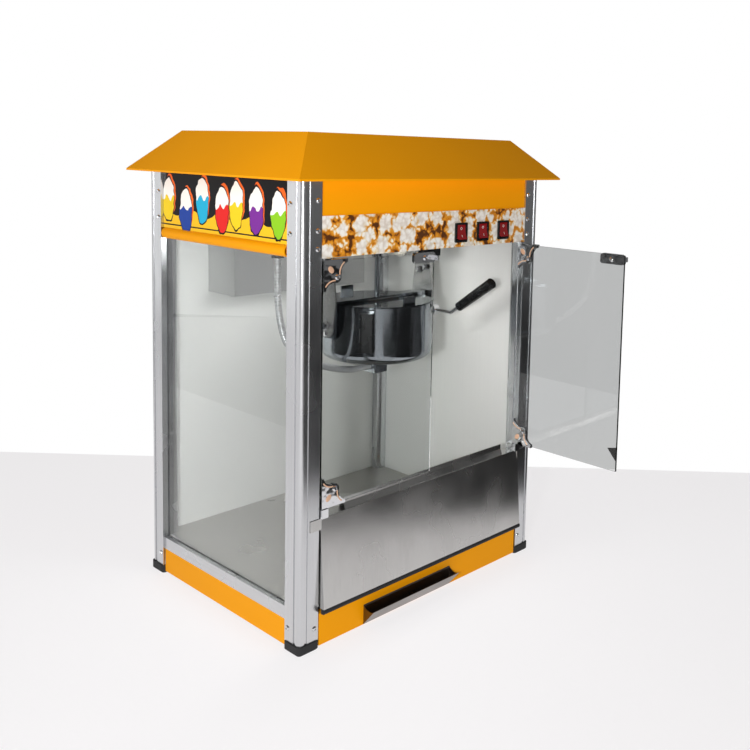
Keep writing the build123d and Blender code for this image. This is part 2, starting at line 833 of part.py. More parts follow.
# Doors: each is laid out on a plane through its pivot, x towards its free edge, y up. The right
# door stands open at rest.
swing = radians(door_right_open)
door_planes = {
    "left": (Plane(origin=(-pivot_x, door_middle_y, 0), x_dir=(1, 0, 0), z_dir=(0, -1, 0)), 1),
    "right": (
        Plane(
            origin=(pivot_x, door_middle_y, 0),
            x_dir=(-cos(swing), -sin(swing), 0),
            z_dir=(-sin(swing), cos(swing), 0),
        ),
        -1,
    ),
}
for hand, (door_plane, outward) in door_planes.items():
    outer_face = door_plane.offset(outward * glass_half)
    inner_face = door_plane.offset(-outward * glass_half)
    with BuildPart() as door_glass:
        with BuildSketch(door_plane):
            with Locations(((door_reach - door_pivot_inset) / 2, (door_bottom + door_top) / 2)):
                Rectangle(door_reach + door_pivot_inset, door_top - door_bottom)
        extrude(amount=glass_half, both=True)
    keep(door_glass, f"door_glass_{hand}")
    with BuildPart() as hinges:
        for edge_z, tip, pin_length in ((door_bottom, 1, pivot_length), (door_top, -1, high_block)):
            for face, thickness in ((outer_face, outward), (inner_face, -outward)):
                corner = Plane(
                    origin=face.from_local_coords((-door_pivot_inset, edge_z, 0)),
                    x_dir=face.x_dir,
                    z_dir=face.z_dir,
                )
                with BuildSketch(corner):
                    add(hinge_outline(tip))
                extrude(amount=thickness * hinge_plate)
            shoe_z = edge_z - tip * shoe_thickness / 2
            with BuildSketch(door_plane):
                with Locations((hinge_leg / 2 - door_pivot_inset, shoe_z)):
                    Rectangle(hinge_leg, shoe_thickness)
            extrude(amount=glass_half + hinge_plate, both=True)
            pin_seat = Plane(
                origin=door_plane.from_local_coords((0, edge_z - tip * shoe_thickness, 0)),
                z_dir=(0, 0, -tip),
            )
            with BuildSketch(pin_seat):
                Circle(pivot_radius)
            extrude(amount=pin_length)
    keep(hinges, f"door_hinges_{hand}")
    with BuildPart() as clip:
        for face, thickness in ((outer_face, outward), (inner_face, -outward)):
            with BuildSketch(face):
                with Locations((door_reach - clip_length / 2, door_top - clip_height / 2)):
                    RectangleRounded(clip_length, clip_height, clip_corner)
            extrude(amount=thickness * hinge_plate)
        with BuildSketch(door_plane):
            with Locations((door_reach - clip_length / 2, door_top + hinge_plate / 4)):
                Rectangle(clip_length - 2 * clip_corner, hinge_plate / 2)
        extrude(amount=glass_half + hinge_plate, both=True)
        with BuildSketch(outer_face):
            with Locations((door_reach - clip_corner - hinge_plate / 2, door_top - clip_height / 2)):
                Rectangle(hinge_plate, clip_height - 2 * clip_corner)
        extrude(amount=outward * (hinge_plate + clip_lip))
    keep(clip, f"door_clip_{hand}")

# Drawer front: painted pan with returned edges
with BuildPart() as drawer_front:
    drawer_mid = drawer_front_bottom + drawer_front_height / 2
    with BuildSketch(Plane.XZ.offset(-drawer_y)):
        with Locations((0, drawer_mid)):
            Rectangle(2 * drawer_x, drawer_front_height)
    extrude(amount=-drawer_front_return)
    with BuildSketch(Plane.XZ.offset(-drawer_y - sheet)):
        with Locations((0, drawer_mid)):
            Rectangle(2 * (drawer_x - sheet), drawer_front_height - 2 * sheet)
    extrude(amount=-drawer_front_return, mode=Mode.SUBTRACT)
keep(drawer_front, "drawer_front")

# Drawer tray: open pan with rims that ride on the runners
with BuildPart() as tray:
    tray_front = drawer_y + sheet
    tray_length = tray_back - tray_front
    tray_mid_y = (tray_back + tray_front) / 2
    with BuildSketch(Plane.XY.offset(tray_bottom)):
        with Locations((0, tray_mid_y)):
            Rectangle(tray_width, tray_length)
    extrude(amount=tray_top - tray_bottom)
    rim_front = front_y + post_size + fit_gap
    with BuildSketch(Plane.XY.offset(tray_top - tray_sheet)):
        with Locations((0, (rim_front + tray_back) / 2)):
            Rectangle(tray_width + 2 * tray_rim, tray_back - rim_front)
    extrude(amount=tray_sheet)
    with BuildSketch(Plane.XY.offset(tray_bottom + tray_sheet)):
        with Locations((0, tray_mid_y)):
            Rectangle(tray_width - 2 * tray_sheet, tray_length - 2 * tray_sheet)
    extrude(amount=tray_top - tray_bottom, mode=Mode.SUBTRACT)
keep(tray, "drawer_tray")

# Drawer pull: a scoop with closed ends, hollow behind a leaning front
with BuildPart() as pull:
    pull_top = drawer_front_bottom + pull_height
    lip_z = pull_top - pull_lip_drop
    lip_y = drawer_y - pull_reach
    with BuildSketch(Plane.YZ.offset(pull_left)):
        with BuildLine():
            Polyline((drawer_y, pull_top), (drawer_y, drawer_front_bottom), (lip_y, lip_z))
            ThreePointArc(
                (lip_y, lip_z),
                ((lip_y + drawer_y) / 2, (lip_z + pull_top) / 2 - pull_sag),
                (drawer_y, pull_top),
            )
        make_face()
    extrude(amount=pull_width)
    lean = (lip_z - drawer_front_bottom) / pull_reach
    with BuildSketch(Plane.YZ.offset(pull_left + sheet)):
        with BuildLine():
            Polyline(
                (drawer_y - sheet, pull_top),
                (drawer_y - sheet, drawer_front_bottom + lean * 3 * sheet),
                (lip_y + sheet, lip_z + lean * sheet),
                (lip_y + sheet, pull_top),
                close=True,
            )
        make_face()
    extrude(amount=pull_width - 2 * sheet, mode=Mode.SUBTRACT)
keep(pull, "drawer_pull")

# Motor box: folded stainless cover under the ceiling, against the back
with BuildPart() as motor_box:
    box_x = box_left + box_width / 2
    box_y = box_front + box_depth / 2
    with BuildSketch(Plane.XY.offset(box_bottom)):
        with Locations((box_x, box_y)):
            Rectangle(box_width, box_depth)
    extrude(amount=box_height)
    with BuildSketch(Plane.XY.offset(box_bottom + sheet)):
        with Locations((box_x, box_y)):
            Rectangle(box_width - 2 * sheet, box_depth - 2 * sheet)
    extrude(amount=box_height, mode=Mode.SUBTRACT)
keep(motor_box, "motor_box")

# Gear motor on the ceiling plate, with the shaft bearing that drops through it
with BuildPart() as gear_motor:
    gearbox_z = ceiling_z + sheet
    with BuildSketch(Plane.XY.offset(gearbox_z)):
        with Locations((kettle_x, kettle_y)):
            RectangleRounded(gearbox_size, gearbox_size, gearbox_corner)
            Circle(drive_radius + running_gap, mode=Mode.SUBTRACT)
    extrude(amount=gearbox_height)
    with BuildSketch(Plane.XY.offset(gearbox_z + gearbox_height)):
        with Locations((kettle_x, kettle_y)):
            Circle(motor_radius)
    extrude(amount=motor_length)
keep(gear_motor, "gear_motor")

# Drive shaft: hangs through the ceiling and ends in a coupling slotted from front to back
with BuildPart() as drive_shaft:
    with BuildSketch(Plane.XY.offset(coupling_bottom)):
        with Locations((kettle_x, kettle_y)):
            Circle(coupling_radius)
    extrude(amount=coupling_height)
    with BuildSketch(Plane.XY.offset(coupling_top)):
        with Locations((kettle_x, kettle_y)):
            Circle(drive_radius)
    extrude(amount=gearbox_z + gearbox_height - fit_gap - coupling_top)
    with BuildSketch(Plane.XY.offset(coupling_bottom)):
        with Locations((kettle_x, kettle_y)):
            Rectangle(tongue_thickness + 2 * coupling_gap, 2 * coupling_radius)
    extrude(amount=tongue_height + coupling_roof_gap, mode=Mode.SUBTRACT)
keep(drive_shaft, "drive_shaft")

# Kettle pot: spun cup with a rolled rim
pot_origin = Vector(kettle_x, kettle_y, pot_bottom)
pot_plane = Plane(origin=pot_origin, x_dir=(1, 0, 0), z_dir=(0, -1, 0))
with BuildPart() as pot:
    inner_radius = pot_radius - pot_wall
    inner_heel = pot_heel_radius - pot_wall
    with BuildSketch(pot_plane):
        with BuildLine():
            Line((0, 0), (pot_radius - pot_heel_radius, 0))
            RadiusArc(
                (pot_radius - pot_heel_radius, 0), (pot_radius, pot_heel_radius), -pot_heel_radius
            )
            Polyline(
                (pot_radius, pot_heel_radius),
                (pot_radius, pot_height - rim_height),
                (pot_radius + rim_proud, pot_height - rim_height),
                (pot_radius + rim_proud, pot_height),
                (inner_radius, pot_height),
                (inner_radius, pot_floor + inner_heel),
            )
            RadiusArc(
                (inner_radius, pot_floor + inner_heel),
                (inner_radius - inner_heel, pot_floor),
                inner_heel,
            )
            Polyline((inner_radius - inner_heel, pot_floor), (0, pot_floor), (0, 0))
        make_face()
    revolve(axis=Axis(pot_origin, (0, 0, 1)))
keep(pot, "kettle_pot")

# Heater base under the pot, with the terminal block that the conduit enters
with BuildPart() as heater_base:
    with BuildSketch(Plane.XY.offset(pot_bottom)):
        with Locations((kettle_x, kettle_y)):
            Circle(base_radius)
    extrude(amount=-base_height)
    chamfer(heater_base.faces().sort_by(Axis.Z)[0].edges(), base_chamfer)
    with BuildSketch(Plane.XY.offset(pot_bottom - base_height)):
        with Locations((kettle_x, kettle_y)):
            RectangleRounded(terminal_size, terminal_size, terminal_corner)
    extrude(amount=-terminal_height)
keep(heater_base, "heater_base")

# Yoke: a bar over the pot with a leg on each side that carries a trunnion and a lid hinge rod
# along each edge; the stirrer turns in its middle
with BuildPart() as yoke:
    leg_bottom = tilt_axis_z - yoke_leg_drop
    bar_depth = yoke_width / 2
    with BuildSketch(Plane.XY.offset(yoke_bottom)):
        with Locations((kettle_x, kettle_y)):
            Rectangle(2 * leg_out, yoke_width)
    extrude(amount=yoke_thickness)
    for side in (-1, 1):
        leg_plane = Plane(origin=(kettle_x + side * leg_x, kettle_y, 0), x_dir=(0, 1, 0), z_dir=(1, 0, 0))
        with BuildSketch(leg_plane):
            with Locations((0, (leg_bottom + yoke_top) / 2)):
                Rectangle(yoke_width, yoke_top - leg_bottom)
        extrude(amount=side * yoke_leg)
        stub_end = hanger_offset + hanger_thickness + trunnion_stub
        trunnion_reach = hub_x + hub_length if side > 0 else stub_end
        with BuildSketch(leg_plane):
            with Locations((0, tilt_axis_z)):
                Circle(trunnion_radius)
        extrude(amount=side * (trunnion_reach - leg_x))
    with BuildSketch(Plane.XY.offset(yoke_bottom)):
        with Locations((kettle_x, kettle_y)):
            Circle(stirrer_radius + running_gap)
    extrude(amount=yoke_thickness, mode=Mode.SUBTRACT)
    hinge_z = yoke_bottom + lid_hinge_radius + running_gap
    hinge_y = bar_depth + lid_hinge_radius + lid_hinge_gap
    for side in (-1, 1):
        for end in (-1, 1):
            rod_start = Plane(
                origin=(kettle_x + end * lid_hinge_length, kettle_y, 0), x_dir=(0, 1, 0), z_dir=(1, 0, 0)
            )
            with BuildSketch(rod_start):
                with Locations((side * hinge_y, hinge_z)):
                    Circle(lid_hinge_radius)
                with Locations((side * (bar_depth + hinge_y) / 2, hinge_z)):
                    Rectangle(hinge_y - bar_depth, 2 * lid_hinge_radius)
            extrude(amount=end * yoke_thickness)
            with BuildSketch(rod_start):
                with Locations((side * hinge_y, hinge_z)):
                    Circle(lid_hinge_radius / 2)
            extrude(amount=-end * lid_hinge_length / 2)
keep(yoke, "kettle_yoke")

# Half lids: flat plates with a hinge knuckle at the yoke and a turned-up finger tab
for hand, side in (("front", -1), ("back", 1)):
    lid_z = pot_rim + lid_lift
    with BuildPart() as lid:
        with BuildSketch(Plane.XY.offset(lid_z)):
            with Locations((kettle_x, kettle_y)):
                Circle(pot_radius - lid_inset)
            cut_edge = hinge_y + lid_hinge_radius + lid_hinge_gap
            with Locations((kettle_x, kettle_y - side * (pot_radius - cut_edge))):
                Rectangle(2 * pot_radius, 2 * pot_radius, mode=Mode.SUBTRACT)
        extrude(amount=lid_thickness)
        knuckle_plane = Plane(origin=(kettle_x, kettle_y, 0), x_dir=(0, 1, 0), z_dir=(1, 0, 0))
        knuckle_half = lid_hinge_length - fit_gap
        with BuildSketch(knuckle_plane):
            with Locations((side * hinge_y, hinge_z)):
                Circle(lid_hinge_radius)
            with Locations((side * (hinge_y + cut_edge + lid_hinge_gap) / 2, lid_z + lid_thickness / 2)):
                Rectangle(cut_edge + lid_hinge_gap - hinge_y, lid_thickness)
        extrude(amount=knuckle_half, both=True)
        with BuildSketch(knuckle_plane):
            with Locations((side * hinge_y, hinge_z)):
                Circle(lid_hinge_radius / 2 + running_gap)
        extrude(amount=knuckle_half, both=True, mode=Mode.SUBTRACT)
        tab_y = pot_radius - lid_inset - lid_tab
        with BuildSketch(Plane.XY.offset(lid_z + lid_thickness)):
            with Locations((kettle_x, kettle_y + side * tab_y)):
                Rectangle(2 * lid_tab, 2 * lid_thickness)
        extrude(amount=lid_tab)
    keep(lid, f"kettle_lid_{hand}")

# Stirrer: blade on the pot floor, and a long shaft through the yoke whose tongue meets the coupling above
# the circle that the rim sweeps when the kettle tips
with BuildPart() as stirrer:
    blade_z = pot_bottom + pot_floor + stirrer_floor_gap
    with BuildSketch(Plane.XY.offset(blade_z)):
        with Locations((kettle_x, kettle_y)):
            SlotOverall(stirrer_blade_length, stirrer_blade_width)
    extrude(amount=stirrer_blade_thickness)
    with BuildSketch(Plane.XY.offset(blade_z)):
        with Locations((kettle_x, kettle_y)):
            Circle(stirrer_radius)
    extrude(amount=shoulder_z - blade_z)
    with BuildSketch(Plane.XY.offset(shoulder_z)):
        with Locations((kettle_x, kettle_y)):
            Rectangle(tongue_thickness, tongue_width)
    extrude(amount=tongue_height)
keep(stirrer, "stirrer")

# Side grip on the pot: a ribbed moulding that hangs from below the rim
grip_turn = radians(grip_angle)
grip_out = Vector(cos(grip_turn), sin(grip_turn), 0)
grip_middle = Vector(kettle_x, kettle_y, pot_rim - grip_below_rim) + grip_out * pot_radius
grip_plane = Plane(origin=grip_middle, x_dir=(-sin(grip_turn), cos(grip_turn), 0), z_dir=(0, 0, -1))
with BuildPart() as side_grip:
    with BuildSketch(grip_plane):
        with Locations((0, grip_standoff + grip_thickness / 2)):
            RectangleRounded(grip_width, grip_thickness, grip_corner)
    extrude(amount=grip_height, taper=-grip_draft)
    with BuildSketch(grip_plane.offset(grip_width / 2)):
        with Locations((0, grip_standoff)):
            Rectangle(grip_width / 2, 2 * grip_standoff - fit_gap)
    extrude(amount=grip_width / 2)
keep(side_grip, "kettle_grip")

# Hanger plates from the ceiling to the trunnions
with BuildPart() as hangers:
    for side in (-1, 1):
        plate_x = kettle_x + side * hanger_offset
        hanger_plane = Plane(origin=(plate_x, kettle_y, 0), x_dir=(0, 1, 0), z_dir=(1, 0, 0))
        with BuildSketch(hanger_plane):
            with BuildLine():
                Polyline(
                    (-hanger_half_width, tilt_axis_z),
                    (-hanger_flare, hanger_flare_z),
                    (-hanger_half_width, (hanger_flare_z + ceiling_z) / 2),
                    (-hanger_half_width, ceiling_z),
                    (hanger_half_width, ceiling_z),
                    (hanger_half_width, (hanger_flare_z + ceiling_z) / 2),
                    (hanger_flare, hanger_flare_z),
                    (hanger_half_width, tilt_axis_z),
                )
                ThreePointArc(
                    (hanger_half_width, tilt_axis_z),
                    (0, tilt_axis_z - hanger_half_width),
                    (-hanger_half_width, tilt_axis_z),
                )
            make_face()
            with Locations((0, tilt_axis_z)):
                Circle(trunnion_radius + running_gap, mode=Mode.SUBTRACT)
        extrude(amount=side * hanger_thickness)
        with BuildSketch(Plane.XY.offset(ceiling_z)):
            with Locations((plate_x + side * hanger_foot / 2, kettle_y)):
                Rectangle(hanger_foot, 2 * hanger_half_width)
        extrude(amount=-hanger_thickness)
keep(hangers, "kettle_hangers")

# Dump handle: hub on the right trunnion, bent rod and a tapered moulded grip
handle_x = kettle_x + hub_x + hub_length / 2
knee = Vector(handle_x, kettle_y - hub_radius - rod_run, tilt_axis_z)
rod_root = Vector(handle_x, kettle_y - (hub_radius + trunnion_radius) / 2, tilt_axis_z)
grip_start = knee + grip_dir * dump_rod_exposed
with BuildPart() as dump_rod:
    with BuildSketch(Plane.YZ.offset(handle_x - hub_length / 2)):
        with Locations((kettle_y, tilt_axis_z)):
            Circle(hub_radius)
            Circle(trunnion_radius + running_gap, mode=Mode.SUBTRACT)
    extrude(amount=hub_length)
    with BuildLine():
        FilletPolyline(
            rod_root,
            knee,
            grip_start + grip_dir * dump_grip_socket,
            radius=rod_bend_radius,
        )
    with BuildSketch(Plane(origin=rod_root, z_dir=(0, -1, 0))):
        Circle(rod_radius)
    sweep()
keep(dump_rod, "dump_rod")

# The grip's half section is drawn with y along its axis, from the rod end to the tip
grip_section_plane = Plane(origin=grip_start, x_dir=(1, 0, 0), z_dir=Vector(1, 0, 0).cross(grip_dir))
with BuildPart() as dump_grip:
    socket_radius = rod_radius + running_gap
    with BuildSketch(grip_section_plane):
        with BuildLine():
            Polyline(
                (socket_radius, 0),
                (dump_grip_root_radius - dump_grip_chamfer, 0),
                (dump_grip_root_radius, dump_grip_chamfer),
                (dump_grip_tip_radius, dump_grip_length - dump_grip_chamfer),
                (dump_grip_tip_radius - dump_grip_chamfer, dump_grip_length),
                (0, dump_grip_length),
                (0, dump_grip_socket + fit_gap),
                (socket_radius, dump_grip_socket + fit_gap),
                close=True,
            )
        make_face()
    revolve(axis=Axis(grip_start, grip_dir))
keep(dump_grip, "dump_grip")

# Lamp under the ceiling
with BuildPart() as lamp_socket:
    with BuildSketch(Plane.XY.offset(ceiling_z)):
        with Locations((lamp_x, lamp_y)):
            Circle(lamp_socket_radius)
    extrude(amount=-lamp_socket_height)
keep(lamp_socket, "lamp_socket")

bulb_seat = Vector(lamp_x, lamp_y, ceiling_z - lamp_socket_height)
with BuildPart() as lamp_bulb:
    with BuildSketch(Plane(origin=bulb_seat, x_dir=(1, 0, 0), z_dir=(0, -1, 0))):
        with BuildLine():
            Polyline(
                (0, -bulb_length),
                (0, 0),
                (bulb_neck_radius, 0),
                (bulb_radius, bulb_radius - bulb_length),
                (bulb_radius, bulb_dome - bulb_length),
                (bulb_radius - bulb_dome, -bulb_length),
                close=True,
            )
        make_face()
    revolve(axis=Axis(bulb_seat, (0, 0, 1)))
keep(lamp_bulb, "lamp_bulb")

# Conduit gland under the ceiling
with BuildPart() as gland:
    with BuildSketch(Plane.XY.offset(ceiling_z)):
        with Locations((gland_x, gland_y)):
            RegularPolygon(gland_radius, 6)
            Circle(conduit_radius + conduit_rib + fit_gap, mode=Mode.SUBTRACT)
    extrude(amount=-gland_height)
keep(gland, "conduit_gland")

# Ribbed metal conduit: hangs from the gland and runs under the pot to the terminal block. Each rib is
# a ruled loft through four circles whose x axis stays close to front-to-back.
conduit_end = Vector(kettle_x - terminal_size / 2, kettle_y, pot_bottom - base_height - terminal_height / 2)
conduit_start = Vector(gland_x, gland_y, ceiling_z)
conduit_span = conduit_end - conduit_start
conduit_points = [conduit_start]
for share_x, share_y, share_z in conduit_route:
    conduit_points.append(
        conduit_start + Vector(conduit_span.X * share_x, conduit_span.Y * share_y, conduit_span.Z * share_z)
    )
conduit_points.append(conduit_end)
with BuildPart() as conduit:
    with BuildLine() as conduit_path:
        Spline(*conduit_points, tangents=((0, 0, -1), (1, 0, 0)))
    conduit_curve = conduit_path.line
    rib_profile = (0, 1, 1, 0)
    sections = conduit_ribs * len(rib_profile)
    for count in range(sections + 1):
        swell = rib_profile[count % len(rib_profile)]
        along = count / sections
        run = conduit_curve % along
        with BuildSketch(Plane(origin=conduit_curve @ along, x_dir=run.cross(Vector(0, 1, 0)), z_dir=run)):
            Circle(conduit_radius + swell * conduit_rib)
    loft(ruled=True)
    with BuildSketch(Plane(origin=conduit_start, z_dir=(0, 0, -1))):
        Circle(conduit_bore)
    sweep(path=conduit_curve, mode=Mode.SUBTRACT)
keep(conduit, "conduit")
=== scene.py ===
"""Tabletop popcorn machine: finishes, small fittings, ribbed conduit and studio stage."""

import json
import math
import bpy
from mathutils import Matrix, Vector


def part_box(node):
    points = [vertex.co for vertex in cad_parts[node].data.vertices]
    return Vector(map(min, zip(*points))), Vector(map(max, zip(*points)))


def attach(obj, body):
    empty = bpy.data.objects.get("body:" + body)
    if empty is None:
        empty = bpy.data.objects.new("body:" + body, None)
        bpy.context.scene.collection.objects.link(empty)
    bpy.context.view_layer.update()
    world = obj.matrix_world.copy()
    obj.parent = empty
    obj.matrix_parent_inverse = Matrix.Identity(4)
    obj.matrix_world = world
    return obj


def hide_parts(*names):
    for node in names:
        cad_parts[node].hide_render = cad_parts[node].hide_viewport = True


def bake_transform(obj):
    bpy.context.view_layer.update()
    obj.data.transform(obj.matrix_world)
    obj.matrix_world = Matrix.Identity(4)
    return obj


bl_info = {
    "name": "Popcorn Machine",
    "version": (1, 0, 0),
    "blender": (4, 5, 0),
    "location": "View3D > Sidebar > Popcorn Machine",
    "description": "Finishes, small fittings and a studio stage for a tabletop popcorn machine",
    "category": "Object",
}

import bmesh
import bpy
from mathutils import Matrix, Vector

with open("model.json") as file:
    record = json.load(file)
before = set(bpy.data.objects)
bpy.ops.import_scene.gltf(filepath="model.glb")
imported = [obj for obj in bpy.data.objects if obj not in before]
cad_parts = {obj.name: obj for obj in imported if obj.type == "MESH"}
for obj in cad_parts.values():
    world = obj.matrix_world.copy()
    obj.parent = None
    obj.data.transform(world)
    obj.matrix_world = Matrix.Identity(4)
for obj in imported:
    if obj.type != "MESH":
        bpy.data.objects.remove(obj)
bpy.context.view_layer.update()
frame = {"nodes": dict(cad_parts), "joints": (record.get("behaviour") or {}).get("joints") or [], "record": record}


def linear(code):
    """Linear RGB of an sRGB hex colour."""
    shares = [int(code[i : i + 2], 16) / 255 for i in (0, 2, 4)]
    return [s / 12.92 if s <= 0.04045 else ((s + 0.055) / 1.055) ** 2.4 for s in shares]


def colour_property(name, description, code):
    """A colour that a user may change, given as its sRGB hex value."""
    return bpy.props.FloatVectorProperty(
        name=name,
        description=description,
        subtype="COLOR",
        size=3,
        min=0,
        max=1,
        default=linear(code),
    )


def number_property(name, description, default, **settings):
    """A number from nought up that a user may change."""
    return bpy.props.FloatProperty(
        name=name, description=description, min=0, default=default, **settings
    )


def length_property(name, description, millimetres):
    """A length that a user may change, given in millimetres."""
    return number_property(name, description, millimetres / 1000, unit="LENGTH")


def power_property(name, description, watts):
    """A lamp's power that a user may change."""
    return number_property(name, description, watts, unit="POWER")


class MachineColours(bpy.types.PropertyGroup):
    """Colours of the machine's paint, metal, mouldings and prints."""

    paint: colour_property("Paint", "Powder coat of the roof, fascias, base and drawer", "f4a008")
    posts: colour_property("Posts", "Anodised corner posts and side rails", "cdced0")
    steel: colour_property("Sheet steel", "Brushed stainless sheet", "c2c1bf")
    rocker: colour_property("Rockers", "Tinted switch rockers", "8a1014")
    sign_ground: colour_property("Sign ground", "Dark upper ground of the side signs", "100e10")
    sign_wave: colour_property("Sign wave", "Wavy lower ground of the side signs", "f6c21c")
    corn_white: colour_property("Corn white", "Lightest part of the printed corn", "f6f2ea")
    inlay: colour_property("Inlay", "Gold lacquer in the hinge plates", "c9a184")
    corn_gold: colour_property("Corn gold", "Toasted part of the printed corn", "eda325")


class FittingSizes(bpy.types.PropertyGroup):
    """Sizes of the small fittings."""

    screw_radius: length_property("Screw radius", "Radius of the domed heads on the posts", 4.0)
    screw_height: length_property("Screw height", "Height of the domed heads on the posts", 2.2)
    cap_radius: length_property("Cap radius", "Radius of the cap screws on the door fittings", 4.4)
    cap_height: length_property("Cap height", "Height of the cap screws on the door fittings", 2.6)
    bolt_radius: length_property("Bolt radius", "Hanger bolts' radius across the corners", 5.2)
    bolt_height: length_property("Bolt height", "Height of the hanger bolts", 3.6)
    bead_radius: length_property("Bead radius", "Half the width of the hinge inlays' beads", 1.1)
    rib_pitch: length_property("Rib pitch", "Distance between the conduit's ribs", 4.6)
    rib_height: length_property("Rib height", "Height of the conduit's ribs", 1.1)


class StageSettings(bpy.types.PropertyGroup):
    """Light and floor of the studio."""

    floor: colour_property("Floor", "Pale studio floor", "fbf9fa")
    fill: number_property("Fill", "Strength of the even light from all round", 0.16)
    backdrop: number_property("Backdrop", "Paleness of the backdrop seen through glass", 0.62)
    gloom: number_property("Gloom", "Paleness of the dim room that polished metal reflects", 0.15)
    key: power_property("Key light", "Power of the softbox beside the camera", 20)
    side: power_property("Side light", "Power of the softbox on the left", 10.4)
    above: power_property("Roof light", "Power of the softbox over the left eave", 5.4)
    inside: power_property("Cabinet light", "Power of the lamp under the ceiling", 1.4)
    floor_glow: number_property(
        "Floor glow", "Share of the floor's paleness that no shadow takes away", 0.8, max=1
    )


def per_metre(millimetres):
    """Pattern scale at which one cell is that many millimetres across."""
    return 1000 / millimetres


def add_node(tree, kind, inputs=(), **settings):
    """Add a node, set its properties, and set or link its inputs."""
    made = tree.nodes.new(kind)
    for key, value in settings.items():
        setattr(made, key, value)
    for key, value in dict(inputs).items():
        if isinstance(value, bpy.types.NodeSocket):
            tree.links.new(value, made.inputs[key])
        else:
            made.inputs[key].default_value = value
    return made


def noise(tree, place, size, detail):
    """Outputs of a noise whose cells are that many millimetres across."""
    inputs = {"Vector": place, "Scale": per_metre(size), "Detail": detail}
    return add_node(tree, "ShaderNodeTexNoise", inputs).outputs


def wandering(tree, place, size, detail, reach):
    """Coordinates pushed about by a noise, so that what is printed on them gets uneven edges."""
    drift = noise(tree, place, size, detail)["Color"]
    inputs = {0: drift, 1: (reach, reach, reach), 2: place}
    return add_node(tree, "ShaderNodeVectorMath", inputs, operation="MULTIPLY_ADD").outputs[0]


def computed(tree, operation, *values):
    """Result of a sum on numbers and sockets."""
    return add_node(tree, "ShaderNodeMath", enumerate(values), operation=operation).outputs[0]


def ranged(tree, value, low, high, start=0.0, end=1.0):
    """A number that goes from low to high while a value goes from start to end."""
    inputs = {
        "Value": value,
        "From Min": start,
        "From Max": end,
        "To Min": low,
        "To Max": high,
    }
    return add_node(tree, "ShaderNodeMapRange", inputs).outputs["Result"]


def mixed(tree, share, first, second, **settings):
    """A colour that goes from the first to the second with a share."""
    inputs = {0: share, 6: first, 7: second}
    return add_node(tree, "ShaderNodeMix", inputs, data_type="RGBA", **settings).outputs[2]


def toned(tree, value, stops, interpolation="LINEAR"):
    """A colour that goes from stop to stop as a value grows."""
    made = add_node(tree, "ShaderNodeValToRGB", {"Fac": value})
    ramp = made.color_ramp
    ramp.interpolation = interpolation
    for element, (where, colour) in zip(ramp.elements, (stops[0], stops[-1])):
        element.position = where
        element.color = opaque(colour)
    for where, colour in stops[1:-1]:
        ramp.elements.new(where).color = opaque(colour)
    return made.outputs["Color"]


def embossed(tree, height, strength, distance):
    """Normal of a skin that rises and falls with a height."""
    inputs = {"Height": height, "Strength": strength, "Distance": distance}
    return add_node(tree, "ShaderNodeBump", inputs).outputs["Normal"]


def new_finish(name):
    """An empty node material, its node tree and its object coordinates."""
    finish = bpy.data.materials.new(name)
    finish.use_nodes = True
    tree = finish.node_tree
    tree.nodes.clear()
    return finish, tree, add_node(tree, "ShaderNodeTexCoord").outputs["Object"]


def principled(tree, inputs):
    """Shader of a principled surface."""
    return add_node(tree, "ShaderNodeBsdfPrincipled", inputs).outputs["BSDF"]


def show(tree, shader):
    """Make a shader the surface of its finish."""
    add_node(tree, "ShaderNodeOutputMaterial", {"Surface": shader})


def opaque(colour):
    """A colour with full alpha."""
    return (*colour, 1)


def shaded(colour, share):
    """A colour darkened or lightened by a share."""
    return (*(min(1, c * share) for c in colour), 1)


def powder_coat(colours):
    """Baked polyester powder on steel: even semi-gloss amber with a fine orange-peel skin."""
    finish, tree, place = new_finish("powder_coat")
    cloud = noise(tree, place, 150, 3)["Fac"]
    peel = noise(tree, place, 2.4, 2)["Fac"]
    inputs = {
        "Base Color": mixed(tree, cloud, shaded(colours.paint, 0.93), shaded(colours.paint, 1.03)),
        "Roughness": ranged(tree, cloud, 0.32, 0.44),
        "Specular IOR Level": 0.05,
        "Normal": embossed(tree, peel, 0.1, 0.0003),
    }
    show(tree, principled(tree, inputs))
    return finish


def drawn_metal(name, colour, axis, length, gloss, metallic=1.0, contrast=0.07, depth=0.00006):
    """Metal with fine lines along one axis, each about that many millimetres long.

    The lines are drawn about 2 mm wide, coarser than the real ones, so that they show.
    """
    width = 2.2
    finish, tree, place = new_finish(name)
    scale = [per_metre(length if i == axis else width) for i in range(3)]
    lines = add_node(tree, "ShaderNodeMapping", {"Vector": place, "Scale": scale}).outputs[0]
    streaks = {"Vector": lines, "Scale": 1, "Detail": 4}
    grain = add_node(tree, "ShaderNodeTexNoise", streaks).outputs["Fac"]
    cloud = noise(tree, place, 90, 2)["Fac"]
    dark, light = shaded(colour, 1 - contrast), shaded(colour, 1 + contrast)
    inputs = {
        "Base Color": mixed(tree, grain, dark, light),
        "Metallic": metallic,
        "Roughness": ranged(tree, cloud, *gloss, start=0.3, end=0.7),
        "Normal": embossed(tree, grain, 0.25, depth),
    }
    show(tree, principled(tree, inputs))
    return finish


def bright_chrome():
    """Decorative nickel-chrome plate: a mirror whose slight ripple bends what it reflects."""
    finish, tree, place = new_finish("bright_chrome")
    ripple = noise(tree, place, 14, 1)["Fac"]
    wear = noise(tree, place, 5, 4)["Fac"]
    inputs = {
        "Base Color": opaque(linear("dddee0")),
        "Metallic": 1.0,
        "Roughness": ranged(tree, wear, 0.02, 0.12),
        "Normal": embossed(tree, ripple, 0.5, 0.0006),
    }
    show(tree, principled(tree, inputs))
    return finish


